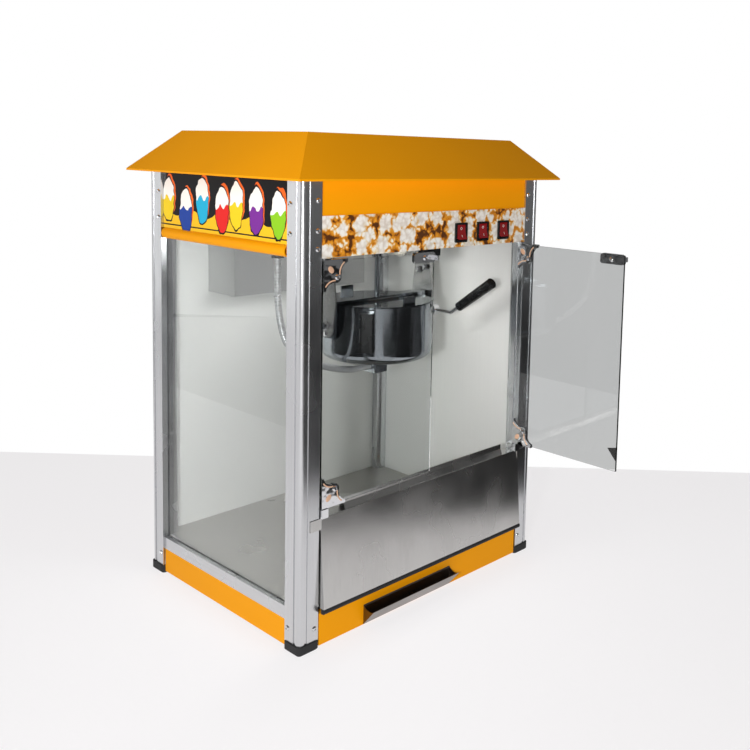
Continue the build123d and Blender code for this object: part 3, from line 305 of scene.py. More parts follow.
def moulded(name, colour, gloss, grit, coat=0.0):
    """Moulding, rubber, enamel or paint: an even colour with a grit of that many millimetres."""
    finish, tree, place = new_finish(name)
    skin = noise(tree, place, grit, 3)["Fac"]
    cloud = noise(tree, place, 30, 2)["Fac"]
    inputs = {
        "Base Color": mixed(tree, cloud, shaded(colour, 0.82), shaded(colour, 1.2)),
        "Roughness": ranged(tree, cloud, gloss - 0.06, gloss + 0.08),
        "Normal": embossed(tree, skin, 0.2, 0.0002),
        "Coat Weight": coat,
    }
    show(tree, principled(tree, inputs))
    return finish


def float_glass():
    """Polished float glass: clear, faintly grey, with sharp reflections.

    Light passes it without a hard shadow.
    """
    finish, tree, place = new_finish("float_glass")
    cloud = noise(tree, place, 220, 1)["Fac"]
    inputs = {
        "Base Color": mixed(tree, cloud, opaque(linear("e9ebeb")), opaque(linear("eff0f0"))),
        "Roughness": 0.0,
        "IOR": 1.5,
        "Transmission Weight": 1.0,
    }
    pane = principled(tree, inputs)
    clear = add_node(tree, "ShaderNodeBsdfTransparent", {"Color": opaque(linear("f6f8f7"))})
    shadow = add_node(tree, "ShaderNodeLightPath").outputs["Is Shadow Ray"]
    either = add_node(
        tree, "ShaderNodeMixShader", {0: shadow, 1: pane, 2: clear.outputs["BSDF"]}
    )
    show(tree, either.outputs["Shader"])
    return finish


def frosted_glass():
    """Frosted lamp glass: milky and warm, with no sharp reflection."""
    finish, tree, place = new_finish("frosted_lamp_glass")
    frost = noise(tree, place, 1.5, 3)["Fac"]
    inputs = {
        "Base Color": opaque(linear("f4f0e4")),
        "Roughness": 0.45,
        "Transmission Weight": 0.5,
        "Normal": embossed(tree, frost, 0.3, 0.0002),
    }
    show(tree, principled(tree, inputs))
    return finish


def corn_print(colours):
    """Gloss printed film of popped corn: white and cream puffs with toasted brown hollows."""
    finish, tree, place = new_finish("printed_corn_film")
    bent = wandering(tree, place, 11, 4, 0.014)
    puffs, lobes = (
        add_node(
            tree,
            "ShaderNodeTexVoronoi",
            {"Vector": bent, "Scale": per_metre(size), "Smoothness": 0.2, "Randomness": 1},
            feature="SMOOTH_F1",
        ).outputs["Distance"]
        for size in (24, 8)
    )
    stops = (
        (0.65, colours.corn_white),
        (0.73, linear("f6e6c0")),
        (0.8, colours.corn_gold),
        (0.92, linear("d98510")),
        (1.0, linear("5e3206")),
    )
    tones = toned(tree, computed(tree, "MULTIPLY_ADD", lobes, 0.42, puffs), stops)
    hollow = ranged(tree, lobes, 0.0, 0.45, start=0.25, end=0.75)
    dimmed = mixed(tree, hollow, tones, opaque(linear("b9a48c")), blend_type="MULTIPLY")
    inputs = {"Base Color": dimmed, "Roughness": 0.28, "Coat Weight": 0.2}
    show(tree, principled(tree, inputs))
    return finish


def puff_print(colours):
    """Printed film: outlined puffs with white tops, on a ground dark above and yellow below."""
    finish, tree, place = new_finish("printed_puff_film")
    low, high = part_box("side_sign_left")
    full_turn = 2 * math.pi
    bent = wandering(tree, place, 16, 1, 0.012)
    spot = add_node(tree, "ShaderNodeSeparateXYZ", {0: bent}).outputs
    flat = add_node(tree, "ShaderNodeCombineXYZ", {0: spot["Y"], 1: spot["Z"]}).outputs[0]

    # One row of puffs 50 mm apart along the sign, each in a cell taller than the sign
    pitch, tall = per_metre(50), per_metre(98)
    cells = {
        "Vector": flat,
        "Location": (0, 0.12 - tall * (low.z + high.z) / 2, 0),
        "Scale": (pitch, tall, 1),
    }
    row = add_node(tree, "ShaderNodeMapping", cells).outputs[0]
    shift = {0: row, 1: (0.1, -0.06, 0)}
    behind = add_node(tree, "ShaderNodeVectorMath", shift, operation="ADD").outputs[0]
    puffs, echoes = (
        add_node(
            tree,
            "ShaderNodeTexVoronoi",
            {"Vector": where, "Scale": 1, "Randomness": 0.24},
            voronoi_dimensions="2D",
        ).outputs
        for where in (row, behind)
    )
    tints = ("e2231f", "f58a12", "d3188a", "8cc81e", "20439c", "1fb0d8", "7a2c96", "f2cf1a")
    stops = [(count / len(tints), linear(tint)) for count, tint in enumerate(tints)]
    hue = add_node(tree, "ShaderNodeSeparateColor", {0: puffs["Color"]}).outputs[0]
    palette = toned(tree, hue, stops, "CONSTANT")

    # Ground: a wavy edge between yellow and dark, and a dark rule near the foot
    level = add_node(tree, "ShaderNodeSeparateXYZ", {0: place}).outputs["Z"]
    wave = computed(tree, "SINE", computed(tree, "MULTIPLY", spot["Y"], full_turn / 0.085))
    crest = computed(tree, "MULTIPLY_ADD", wave, 0.006, low.z + 0.3 * (high.z - low.z))
    above = computed(tree, "GREATER_THAN", level, crest)
    dark = opaque(colours.sign_ground)
    printed = mixed(tree, above, opaque(colours.sign_wave), dark)
    printed = mixed(tree, computed(tree, "COMPARE", level, low.z + 0.0065, 0.0011), printed, dark)

    # Puffs: an orange echo behind, a black outline and a bright body
    body_reach, outline_reach = 0.36, 0.39
    echo = computed(tree, "LESS_THAN", echoes["Distance"], body_reach)
    printed = mixed(tree, echo, printed, opaque(linear("f0681a")))
    outline = computed(tree, "LESS_THAN", puffs["Distance"], outline_reach)
    printed = mixed(tree, outline, printed, opaque(linear("0c0a0c")))
    body = computed(tree, "LESS_THAN", puffs["Distance"], body_reach)
    printed = mixed(tree, body, printed, palette)

    # White top of each puff, down to a wavy brim
    from_middle = {0: row, 1: puffs["Position"]}
    inside = add_node(tree, "ShaderNodeVectorMath", from_middle, operation="SUBTRACT").outputs[0]
    offset = add_node(tree, "ShaderNodeSeparateXYZ", {0: inside}).outputs
    swell = computed(tree, "SINE", computed(tree, "MULTIPLY", offset["X"], full_turn / 0.4))
    brim = computed(tree, "MULTIPLY_ADD", swell, 0.04, 0.03)
    cap = computed(tree, "GREATER_THAN", offset["Y"], brim)
    top = computed(tree, "MULTIPLY", cap, body)
    printed = mixed(tree, top, printed, opaque(linear("faf7f0")))
    inputs = {"Base Color": printed, "Roughness": 0.34, "Specular IOR Level": 0.1}
    show(tree, principled(tree, inputs))
    return finish


def finish_named(name):
    """A finish that an earlier step has made."""
    if name not in bpy.data.materials:
        raise RuntimeError(f"finish {name} isn't made yet; run the finishes first")
    return bpy.data.materials[name]


def add_piece(name, mesh, finish, body):
    """Show a finished mesh as a piece that rides on a body."""
    mesh.shade_smooth()
    mesh.set_sharp_from_angle(angle=math.radians(38))
    mesh.materials.append(finish_named(finish))
    piece = bpy.data.objects.new(name, mesh)
    bpy.context.scene.collection.objects.link(piece)
    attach(piece, body)


def as_mesh(name, shape):
    """A mesh made from a bmesh, which is then freed."""
    mesh = bpy.data.meshes.new(name)
    shape.to_mesh(mesh)
    shape.free()
    return mesh


def add_cone(shape, segments, low_radius, high_radius, bottom, height):
    """Add a capped cone or prism that stands at a level and reaches up."""
    made = bmesh.ops.create_cone(
        shape,
        cap_ends=True,
        segments=segments,
        radius1=low_radius,
        radius2=high_radius,
        depth=height,
    )
    bmesh.ops.translate(shape, verts=made["verts"], vec=(0, 0, bottom + height / 2))


def crown_of(shape):
    """The highest face of a bmesh."""
    return max(shape.faces, key=lambda face: face.calc_center_median().z)


def bevel_crown(shape, offset, segments):
    """Round the edge of the highest face of a bmesh."""
    bmesh.ops.bevel(
        shape,
        geom=list(crown_of(shape).edges),
        offset=offset,
        segments=segments,
        profile=0.5,
        affect="EDGES",
        material=-1,
    )


def domed_head(radius, height):
    """Mesh of a domed screw head with a round driver recess, on the origin and facing up."""
    shape = bmesh.new()
    add_cone(shape, 20, radius, 0.7 * radius, 0, height)
    bevel_crown(shape, 0.22 * radius, 3)
    crown = crown_of(shape)
    bmesh.ops.inset_region(shape, faces=[crown], thickness=0.16 * radius)
    bmesh.ops.translate(shape, verts=crown.verts, vec=(0, 0, -0.45 * height))
    return as_mesh("domed_head", shape)


def hex_head(radius, height):
    """Mesh of a hexagon bolt head with a washer face and chamfered corners, facing up."""
    shape = bmesh.new()
    washer = 0.25 * height
    add_cone(shape, 24, 1.25 * radius, 1.2 * radius, 0, washer)
    add_cone(shape, 6, radius, radius, washer, height - washer)
    bevel_crown(shape, 0.16 * radius, 2)
    return as_mesh("hex_head", shape)


def append_copy(shape, mesh, place):
    """Add a copy of a mesh to a bmesh, moved by a matrix."""
    before = len(shape.verts)
    shape.from_mesh(mesh)
    shape.verts.ensure_lookup_table()
    bmesh.ops.transform(shape, matrix=place, verts=shape.verts[before:])


def copies(name, head, places):
    """One mesh with a head at each place, turned to face the way that goes with it."""
    shape = bmesh.new()
    for point, facing in places:
        turn = Vector(facing).to_track_quat("Z", "Y").to_matrix().to_4x4()
        append_copy(shape, head, Matrix.Translation(point) @ turn)
    bpy.data.meshes.remove(head)
    return as_mesh(name, shape)


class POPCORN_OT_finishes(bpy.types.Operator):
    """Make every finish and lay it on the carried-over parts"""

    bl_idname = "popcorn.finishes"
    bl_label = "Finishes"

    def execute(self, context):
        colours = context.scene.popcorn_colours
        steel = colours.steel
        # Extruded and anodised: satin, with draw lines along the post
        posts = drawn_metal("anodised_aluminium_upright", colours.posts, 2, 260, (0.2, 0.3))
        rails = drawn_metal("anodised_aluminium_rail", colours.posts, 1, 260, (0.22, 0.32))
        # Belt-brushed sheet: soft reflections streaked along the brushing
        upright = drawn_metal("brushed_stainless_upright", steel, 2, 180, (0.2, 0.3))
        level = drawn_metal("brushed_stainless_level", steel, 0, 180, (0.22, 0.32))
        # Scuffed by scoops: duller and greyer than the sheet around it
        worn = drawn_metal("worn_stainless_deck", linear("aaa8a3"), 0, 120, (0.26, 0.38), 0.7)
        # Drawer pull: brownish grey darkened with painted shade, standing for the shadow inside its hollow scoop
        shade_darkened = drawn_metal("stained_stainless", linear("77706b"), 0, 120, (0.26, 0.38))
        # Mill finish of the back and right walls: pale and almost without reflection
        wall = drawn_metal("mill_stainless", linear("dededb"), 2, 240, (0.5, 0.6), 0.35, 0.03)
        # Bead-blasted cover: dull and even grey
        cover = drawn_metal("blasted_stainless", linear("9a9a99"), 2, 160, (0.34, 0.44), 0.6, 0.05)
        # Spun and buffed: nearly a mirror, with a faint fine grain
        spun = drawn_metal(
            "spun_stainless", linear("a6abb0"), 2, 1.4, (0.08, 0.14), contrast=0.05, depth=0.00002
        )
        # Bare rolled strip: dull silver
        strip = drawn_metal("rolled_strip_metal", linear("d2d3d4"), 2, 60, (0.24, 0.36), 0.8)
        laid = {
            "aluminium_posts": posts,
            "orange_paint": powder_coat(colours),
            "stainless_sheet": upright,
            "polished_steel": spun,
            "plated_fittings": bright_chrome(),
            # Rubber: dull black with a dusty skin
            "black_rubber": moulded("moulded_rubber", linear("1b1b1d"), 0.7, 1.2),
            # Phenolic: deep black, smooth and glossy
            "black_moulding": moulded("phenolic_black", linear("070708"), 0.26, 2.5, 0.1),
            # Tinted polycarbonate: deep red with a wet gloss
            "red_rocker": moulded("tinted_polycarbonate", colours.rocker, 0.16, 4, 0.4),
            "printed_strip": corn_print(colours),
            "printed_sign": puff_print(colours),
            "clear_glass": float_glass(),
            "lamp_glass": frosted_glass(),
            # Enamelled casing: dark grey with a light texture
            "motor_casing": moulded("dark_enamel", linear("3c3f42"), 0.45, 1.5),
            "conduit_metal": strip,
        }
        single = {
            "side_rail_left": rails,
            "side_rail_right": rails,
            "back_panel": wall,
            "side_panel_right": wall,
            "motor_box": cover,
            "deck": worn,
            "ceiling_plate": level,
            "door_sill": level,
            "drawer_tray": level,
            # The drawer pull gets the grey darkened with painted shade for the shadow in its scoop
            "drawer_pull": shade_darkened,
        }
        for part in frame["record"]["subparts"]:
            node = frame["nodes"][part["node"]]
            node.data.materials.clear()
            node.data.materials.append(single.get(part["node"], laid[part["material_slot"]]))
        # Marking paint: dull off-white on the rockers
        moulded("marking_paint", linear("e9e6e0"), 0.5, 1.0)
        # Gold lacquer: warm satin fill between the bright lines of the hinge plates
        moulded("gold_lacquer", colours.inlay, 0.38, 1.5)
        return {"FINISHED"}


class POPCORN_OT_post_screws(bpy.types.Operator):
    """Domed screws on the outer faces of the four posts"""

    bl_idname = "popcorn.post_screws"
    bl_label = "Post screws"

    def execute(self, context):
        sizes = context.scene.popcorn_sizes
        inset = 0.007
        front_levels = (0.0337, 0.6017, 0.628, 0.6716)
        side_levels = (0.0356, 0.623, 0.666)
        places = []
        for row, facing_y in (("front", -1), ("back", 1)):
            for hand, facing_x in (("left", -1), ("right", 1)):
                low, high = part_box(f"post_{row}_{hand}")
                outer_x, inner_x = (low.x, high.x) if facing_x < 0 else (high.x, low.x)
                outer_y, inner_y = (low.y, high.y) if facing_y < 0 else (high.y, low.y)
                for level in front_levels:
                    point = (inner_x + facing_x * inset, outer_y, level)
                    places.append((point, (0, facing_y, 0)))
                for level in side_levels:
                    point = (outer_x, inner_y + facing_y * inset, level)
                    places.append((point, (facing_x, 0, 0)))
        mesh = copies("post_screws", domed_head(sizes.screw_radius, sizes.screw_height), places)
        add_piece("post_screws", mesh, "bright_chrome", "cabinet")
        return {"FINISHED"}


class POPCORN_OT_door_caps(bpy.types.Operator):
    """Cap screws through the hinge plates and the corner clips of both doors"""

    bl_idname = "popcorn.door_caps"
    bl_label = "Door cap screws"

    def execute(self, context):
        sizes = context.scene.popcorn_sizes
        lobe = 0.024
        clip_drop = 0.008
        for hand, axis in (("left", 0), ("right", 1)):
            glass_low, glass_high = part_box(f"door_glass_{hand}")
            plate_low, plate_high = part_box(f"door_hinges_{hand}")
            clip_low, clip_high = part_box(f"door_clip_{hand}")
            across = 1 - axis
            pivot_edge = glass_low.x + lobe if hand == "left" else glass_high.y - lobe
            clip_middle = (clip_low[axis] + clip_high[axis]) / 2
            spots = (
                (pivot_edge, glass_low.z + lobe),
                (pivot_edge, glass_high.z - lobe),
                (clip_middle, glass_high.z - clip_drop),
            )
            places = []
            for along, level in spots:
                for face, side in ((plate_low[across], -1), (plate_high[across], 1)):
                    point = Vector((0, 0, level))
                    point[axis] = along
                    point[across] = face
                    facing = Vector((0, 0, 0))
                    facing[across] = side
                    places.append((point, facing))
            head = domed_head(sizes.cap_radius, sizes.cap_height)
            mesh = copies(f"door_caps_{hand}", head, places)
            add_piece(f"door_caps_{hand}", mesh, "bright_chrome", f"door_{hand}")
        return {"FINISHED"}


def hinge_inlay(bead):
    """Mesh of one plate's inlay: a flat drop on the diagonal and a bead along each scallop.

    The plate's corner is at the origin, its legs run along +x and +y, and it faces up.
    """
    drop_half = (0.0062, 0.0042, 0.0006)
    drop_place = (0.0125, 0.0125, 0)
    # The bead runs 3.2 mm inside the edge of the scallop, whose arc has this middle
    middle = Vector((0.0186, 0.0479, 0))
    reach = 0.0193
    bead_start, bead_sweep = math.radians(214), math.radians(62)
    swap = Matrix(((0, 1, 0), (1, 0, 0), (0, 0, 1))).to_4x4()

    shape = bmesh.new()
    drop = bmesh.ops.create_uvsphere(shape, u_segments=20, v_segments=8, radius=1)["verts"]
    bmesh.ops.scale(shape, verts=drop, vec=drop_half)
    bmesh.ops.rotate(shape, verts=drop, matrix=Matrix.Rotation(math.radians(45), 3, "Z"))
    bmesh.ops.translate(shape, verts=drop, vec=drop_place)
    for swap_legs in (False, True):
        ring = bmesh.ops.create_circle(shape, cap_ends=True, segments=10, radius=bead)["verts"]
        bmesh.ops.rotate(shape, verts=ring, matrix=Matrix.Rotation(math.radians(90), 3, "X"))
        bmesh.ops.scale(shape, verts=ring, vec=(1, 1, 0.5))
        bmesh.ops.translate(shape, verts=ring, vec=(reach, 0, 0))
        bmesh.ops.rotate(shape, verts=ring, matrix=Matrix.Rotation(bead_start, 3, "Z"))
        bmesh.ops.translate(shape, verts=ring, vec=middle)
        around = {edge for vertex in ring for edge in vertex.link_edges}
        within = {face for vertex in ring for face in vertex.link_faces}
        seen = set(shape.verts) - set(ring)
        bmesh.ops.spin(
            shape,
            geom=[*ring, *around, *within],
            cent=middle,
            axis=(0, 0, 1),
            angle=bead_sweep,
            steps=12,
        )
        if swap_legs:
            swept = [vertex for vertex in shape.verts if vertex not in seen]
            bmesh.ops.transform(shape, matrix=swap, verts=swept)
    return as_mesh("hinge_inlay", shape)


class POPCORN_OT_hinge_inlays(bpy.types.Operator):
    """Gold inlays on both faces of the hinge plates"""

    bl_idname = "popcorn.hinge_inlays"
    bl_label = "Hinge inlays"

    def execute(self, context):
        inlay = hinge_inlay(context.scene.popcorn_sizes.bead_radius)
        for hand, axis, inward in (("left", 0, 1), ("right", 1, -1)):
            glass_low, glass_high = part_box(f"door_glass_{hand}")
            plate_low, plate_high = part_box(f"door_hinges_{hand}")
            across = 1 - axis
            shape = bmesh.new()
            for face, side in ((plate_low[across], -1), (plate_high[across], 1)):
                for level, rise in ((glass_low.z, 1), (glass_high.z, -1)):
                    corner = Vector((0, 0, level))
                    corner[axis] = glass_low[axis] if inward > 0 else glass_high[axis]
                    corner[across] = face
                    leg, out = Vector((0, 0, 0)), Vector((0, 0, 0))
                    leg[axis] = inward
                    out[across] = side
                    turn = Matrix((leg, (0, 0, rise), out)).transposed().to_4x4()
                    append_copy(shape, inlay, Matrix.Translation(corner) @ turn)
            bmesh.ops.recalc_face_normals(shape, faces=shape.faces)
            name = f"hinge_inlays_{hand}"
            mesh = as_mesh(name, shape)
            add_piece(name, mesh, "gold_lacquer", f"door_{hand}")
        bpy.data.meshes.remove(inlay)
        return {"FINISHED"}


class POPCORN_OT_hanger_bolts(bpy.types.Operator):
    """Hexagon bolts on the kettle hangers and a nut on the kettle's left trunnion"""

    bl_idname = "popcorn.hanger_bolts"
    bl_label = "Hanger bolts"

    def execute(self, context):
        sizes = context.scene.popcorn_sizes
        low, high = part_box("kettle_hangers")
        foot = 0.027
        plate = 0.003
        axis_rise = 0.02
        bolt_spots = ((-0.009, 0.085), (0.009, 0.079))
        stop_drop = 0.0138
        nut_radius, nut_height, nut_gap = 0.0078, 0.0062, 0.0006
        middle_y = (low.y + high.y) / 2
        axis_z = low.z + axis_rise
        inner_left = low.x + foot
        inner_right = high.x - foot
        faces = (
            (inner_left - plate, -1),
            (inner_left, 1),
            (inner_right, -1),
            (inner_right + plate, 1),
        )
        places = [
            ((face, middle_y + along, axis_z + rise), (facing, 0, 0))
            for along, rise in bolt_spots
            for face, facing in faces
        ]
        places.append(((inner_left - plate, middle_y, axis_z - stop_drop), (-1, 0, 0)))
        mesh = copies("hanger_bolts", hex_head(sizes.bolt_radius, sizes.bolt_height), places)
        add_piece("hanger_bolts", mesh, "bright_chrome", "cabinet")
        nut = [((inner_left - plate - nut_gap, middle_y, axis_z), (-1, 0, 0))]
        mesh = copies("trunnion_nut", hex_head(nut_radius, nut_height), nut)
        add_piece("trunnion_nut", mesh, "bright_chrome", "kettle")
        return {"FINISHED"}


class POPCORN_OT_switch_marks(bpy.types.Operator):
    """A painted ring and bar on each rocker"""

    bl_idname = "popcorn.switch_marks"
    bl_label = "Switch marks"

    def execute(self, context):
        # Rocker: its tilt at rest, half its height, and the dish of its face around its axis
        tilt = math.radians(11)
        half = 0.0123
        root = 0.0022
        dish = 0.002
        # Marks: distance from the axis, sizes and thickness of the paint
        spread = 0.0064
        ring_radii = (0.0022, 0.0015)
        bar_half_width = 0.0004
        bar_stretch = 5
        paint = 0.0001
        up = Vector((0, math.sin(tilt), math.cos(tilt)))
        out = Vector((0, -math.cos(tilt), math.sin(tilt)))
        for use in ("light", "motor", "heat"):
            joint = next(j for j in frame["joints"] if j["child"] == f"switch_{use}")
            axis = Vector(joint["pos_m"])
            shape = bmesh.new()
            for mark, side in (("ring", 1), ("bar", -1)):
                before = len(shape.verts)
                earlier = set(shape.faces)
                if mark == "ring":
                    circles = [
                        bmesh.ops.create_circle(shape, segments=24, radius=radius)["verts"]
                        for radius in ring_radii
                    ]
                    loops = {
                        edge
                        for circle in circles
                        for vertex in circle
                        for edge in vertex.link_edges
                    }
                    bmesh.ops.bridge_loops(shape, edges=list(loops))
                else:
                    bar = bmesh.ops.create_grid(
                        shape, x_segments=1, y_segments=1, size=bar_half_width
                    )["verts"]
                    bmesh.ops.scale(shape, verts=bar, vec=(1, bar_stretch, 1))
                flat = [face for face in shape.faces if face not in earlier]
                raised = bmesh.ops.extrude_face_region(shape, geom=flat)["geom"]
                lifted = [item for item in raised if isinstance(item, bmesh.types.BMVert)]
                bmesh.ops.translate(shape, verts=lifted, vec=(0, 0, paint))
                slope = side * 2 * dish * spread / half**2
                along = (up + slope * out).normalized()
                away = (out - slope * up).normalized()
                depth = root + dish * (spread / half) ** 2 + paint
                centre = axis + side * spread * up + depth * out
                turn = Matrix((along.cross(away), along, away)).transposed().to_4x4()
                shape.verts.ensure_lookup_table()
                bmesh.ops.transform(
                    shape, matrix=Matrix.Translation(centre) @ turn, verts=shape.verts[before:]
                )
            bmesh.ops.recalc_face_normals(shape, faces=shape.faces)
            mesh = as_mesh(f"switch_mark_{use}", shape)
            add_piece(f"switch_mark_{use}", mesh, "marking_paint", f"switch_{use}")
        return {"FINISHED"}


def conduit_route(scene, start, end):
    """Curve from the gland down, round and across to the terminal block, linked to the scene."""
    # Share of the way from start to end along each axis
    shares = (
        (0, 0, 0),
        (0, 0, 0.25),
        (0.01, -0.02, 0.46),
        (0.07, -0.03, 0.68),
        (0.27, 0.17, 0.83),
        (0.54, 0.57, 0.93),
        (0.78, 0.92, 0.995),
        (0.9, 1, 1),
        (1, 1, 1),
    )
    span = end - start
    line = bpy.data.curves.new("conduit_route", "CURVE")
    line.dimensions = "3D"
    line.resolution_u = 32
    spline = line.splines.new("NURBS")
    spline.points.add(len(shares) - 1)
    for point, share in zip(spline.points, shares):
        point.co = (*(start + Vector(s * d for s, d in zip(share, span))), 1)
    spline.order_u = 3
    spline.use_endpoint_u = True
    route = bpy.data.objects.new("conduit_route", line)
    scene.collection.objects.link(route)
    return route


def conduit_rib(radius, pitch, height):
    """Mesh of one rib around the x axis, as long as the pitch."""
    profile = ((0, 0), (0.15, 0.1), (0.35, 0.85), (0.5, 1), (0.65, 0.85), (0.85, 0.1), (1, 0))
    shape = bmesh.new()
    section = [shape.verts.new((pitch * at, 0, radius + height * swell)) for at, swell in profile]
    edges = [shape.edges.new(pair) for pair in zip(section, section[1:])]
    bmesh.ops.spin(
        shape,
        geom=section + edges,
        cent=(0, 0, 0),
        axis=(1, 0, 0),
        angle=2 * math.pi,
        steps=20,
        use_merge=True,
    )
    bmesh.ops.remove_doubles(shape, verts=shape.verts, dist=1e-6)
    bmesh.ops.recalc_face_normals(shape, faces=shape.faces)
    return as_mesh("conduit_rib", shape)


class POPCORN_OT_conduit(bpy.types.Operator):
    """Ribbed metal conduit from the ceiling gland to the terminal block under the kettle"""

    bl_idname = "popcorn.conduit"
    bl_label = "Conduit"

    def execute(self, context):
        sizes = context.scene.popcorn_sizes
        diameter = 0.0118
        block_reach, block_rise = 0.015, 0.011
        gland_low, gland_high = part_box("conduit_gland")
        base_low, base_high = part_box("heater_base")
        start = Vector(
            (
                (gland_low.x + gland_high.x) / 2,
                (gland_low.y + gland_high.y) / 2,
                gland_high.z,
            )
        )
        end = Vector(
            (
                (base_low.x + base_high.x) / 2 - block_reach,
                (base_low.y + base_high.y) / 2,
                base_low.z + block_rise,
            )
        )
        route = conduit_route(context.scene, start, end)
        context.view_layer.update()
        traced = bpy.data.meshes.new_from_object(route)
        path = [vertex.co.copy() for vertex in traced.vertices]
        bpy.data.meshes.remove(traced)
        length = sum((b - a).length for a, b in zip(path, path[1:]))
        ribs = round(length / sizes.rib_pitch)
        pitch = length / ribs
        radius = diameter / 2 - sizes.rib_height
        one = conduit_rib(radius, pitch, sizes.rib_height)
        rib = bpy.data.objects.new("conduit_rib", one)
        context.scene.collection.objects.link(rib)
        row = rib.modifiers.new("row", "ARRAY")
        row.count = ribs
        row.use_relative_offset = False
        row.use_constant_offset = True
        row.constant_offset_displace = (pitch, 0, 0)
        row.use_merge_vertices = True
        row.merge_threshold = 1e-5
        bend = rib.modifiers.new("bend", "CURVE")
        bend.object = route
        bend.deform_axis = "POS_X"
        context.view_layer.update()
        shown = rib.evaluated_get(context.evaluated_depsgraph_get())
        laid = bpy.data.meshes.new_from_object(shown)
        laid.name = "ribbed_conduit"
        bpy.data.objects.remove(rib)
        bpy.data.objects.remove(route)
        laid.shade_smooth()
        laid.materials.append(finish_named("rolled_strip_metal"))
        conduit = bpy.data.objects.new("ribbed_conduit", laid)
        context.scene.collection.objects.link(conduit)
        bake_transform(conduit)
        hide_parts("conduit")
        return {"FINISHED"}


# Where the photo's camera stands, and how far it is turned, tipped down and rolled
EYE = Vector((-1.05195, -1.15281, 0.74554))
TURN, FALL, ROLL = (math.radians(angle) for angle in (48.71, 5.66, 1.62))


def photo_camera():
    """Camera at the photo's angle, with the lens shift that its lines ask for."""
    ahead = Vector(
        (math.sin(TURN) * math.cos(FALL), math.cos(TURN) * math.cos(FALL), -math.sin(FALL))
    )
    level = ahead.cross(Vector((0, 0, 1))).normalized()
    upright = level.cross(ahead)
    right = math.cos(ROLL) * level + math.sin(ROLL) * upright
    up = math.cos(ROLL) * upright - math.sin(ROLL) * level
    # Width of the picture, focal length and the lens axis's place in it, all in pixels
    picture, focal, axis_x, axis_y = 750, 914.45, 487.98, 243.66
    sensor = 36
    lens = bpy.data.cameras.new("photo_camera")
    lens.sensor_width = sensor
    lens.lens = sensor * focal / picture
    lens.shift_x = (picture / 2 - axis_x) / picture
    lens.shift_y = (axis_y - picture / 2) / picture
    camera = bpy.data.objects.new("photo_camera", lens)
    turned = Matrix((right, up, -ahead)).transposed().to_4x4()
    camera.matrix_world = Matrix.Translation(EYE) @ turned
    return camera


def white_surround(settings):
    """World that is white to the camera and dimmer to other rays."""
    surround = bpy.data.worlds.new("white_surround")
    surround.use_nodes = True
    tree = surround.node_tree
    tree.nodes.clear()
    rays = add_node(tree, "ShaderNodeLightPath").outputs
    through_glass = computed(tree, "MULTIPLY", rays["Is Transmission Ray"], settings.backdrop)
    from_matt = computed(tree, "MULTIPLY", rays["Is Diffuse Ray"], settings.fill)
    strength = computed(tree, "MAXIMUM", rays["Is Camera Ray"], through_glass)
    strength = computed(tree, "MAXIMUM", strength, from_matt)
    strength = computed(tree, "MAXIMUM", strength, settings.gloom)
    white = {"Color": (1, 1, 1, 1), "Strength": strength}
    glow = add_node(tree, "ShaderNodeBackground", white).outputs[0]
    add_node(tree, "ShaderNodeOutputWorld", {"Surface": glow})
    return surround


def floor_board(settings):
    """Painted board: matt and pale, with a glow that keeps shadows light."""
    finish, tree, place = new_finish("floor_board")
    cloud = noise(tree, place, 900, 2)["Fac"]
    tone = mixed(tree, cloud, shaded(settings.floor, 0.99), shaded(settings.floor, 1.01))
    board = principled(tree, {"Base Color": tone, "Roughness": 0.9})
    glow = add_node(tree, "ShaderNodeEmission", {"Color": tone}).outputs[0]
    both = add_node(tree, "ShaderNodeMixShader", {0: settings.floor_glow, 1: board, 2: glow})
    show(tree, both.outputs[0])
    return finish


def black_felt():
    """Black felt: matt and very dark, with a soft nap."""
    finish, tree, place = new_finish("black_felt")
    nap = noise(tree, place, 40, 2)["Fac"]
    tone = mixed(tree, nap, opaque(linear("0a0a0b")), opaque(linear("161618")))
    show(tree, principled(tree, {"Base Color": tone, "Roughness": 1.0}))
    return finish


def aim(source, target):
    """Place-and-turn matrix of a lamp or card that looks from one point to another."""
    source, target = Vector(source), Vector(target)
    turn = (target - source).to_track_quat("-Z", "Y").to_matrix().to_4x4()
    return Matrix.Translation(source) @ turn


def add_lamp(name, power, size, spot, target, lights=True, mirrored=True):
    """Add a softbox, which may leave matt surfaces unlit or stay out of reflections."""
    light = bpy.data.lights.new(name, "AREA")
    light.shape = "RECTANGLE"
    light.size, light.size_y = size
    light.energy = power
    lamp = bpy.data.objects.new(name, light)
    lamp.matrix_world = aim(spot, target)
    lamp.visible_glossy = mirrored
    lamp.visible_diffuse = lights
    bpy.context.scene.collection.objects.link(lamp)


def add_sheet(name, finish, size, place):
    """Add a flat rectangle of the stage, put in place by a matrix."""
    shape = bmesh.new()
    bmesh.ops.create_grid(shape, x_segments=1, y_segments=1, size=0.5)
    bmesh.ops.scale(shape, verts=shape.verts, vec=(*size, 1))
    bmesh.ops.transform(shape, matrix=place, verts=shape.verts)
    sheet = bpy.data.objects.new(name, as_mesh(name, shape))
    sheet.data.materials.append(finish)
    bpy.context.scene.collection.objects.link(sheet)
    return sheet


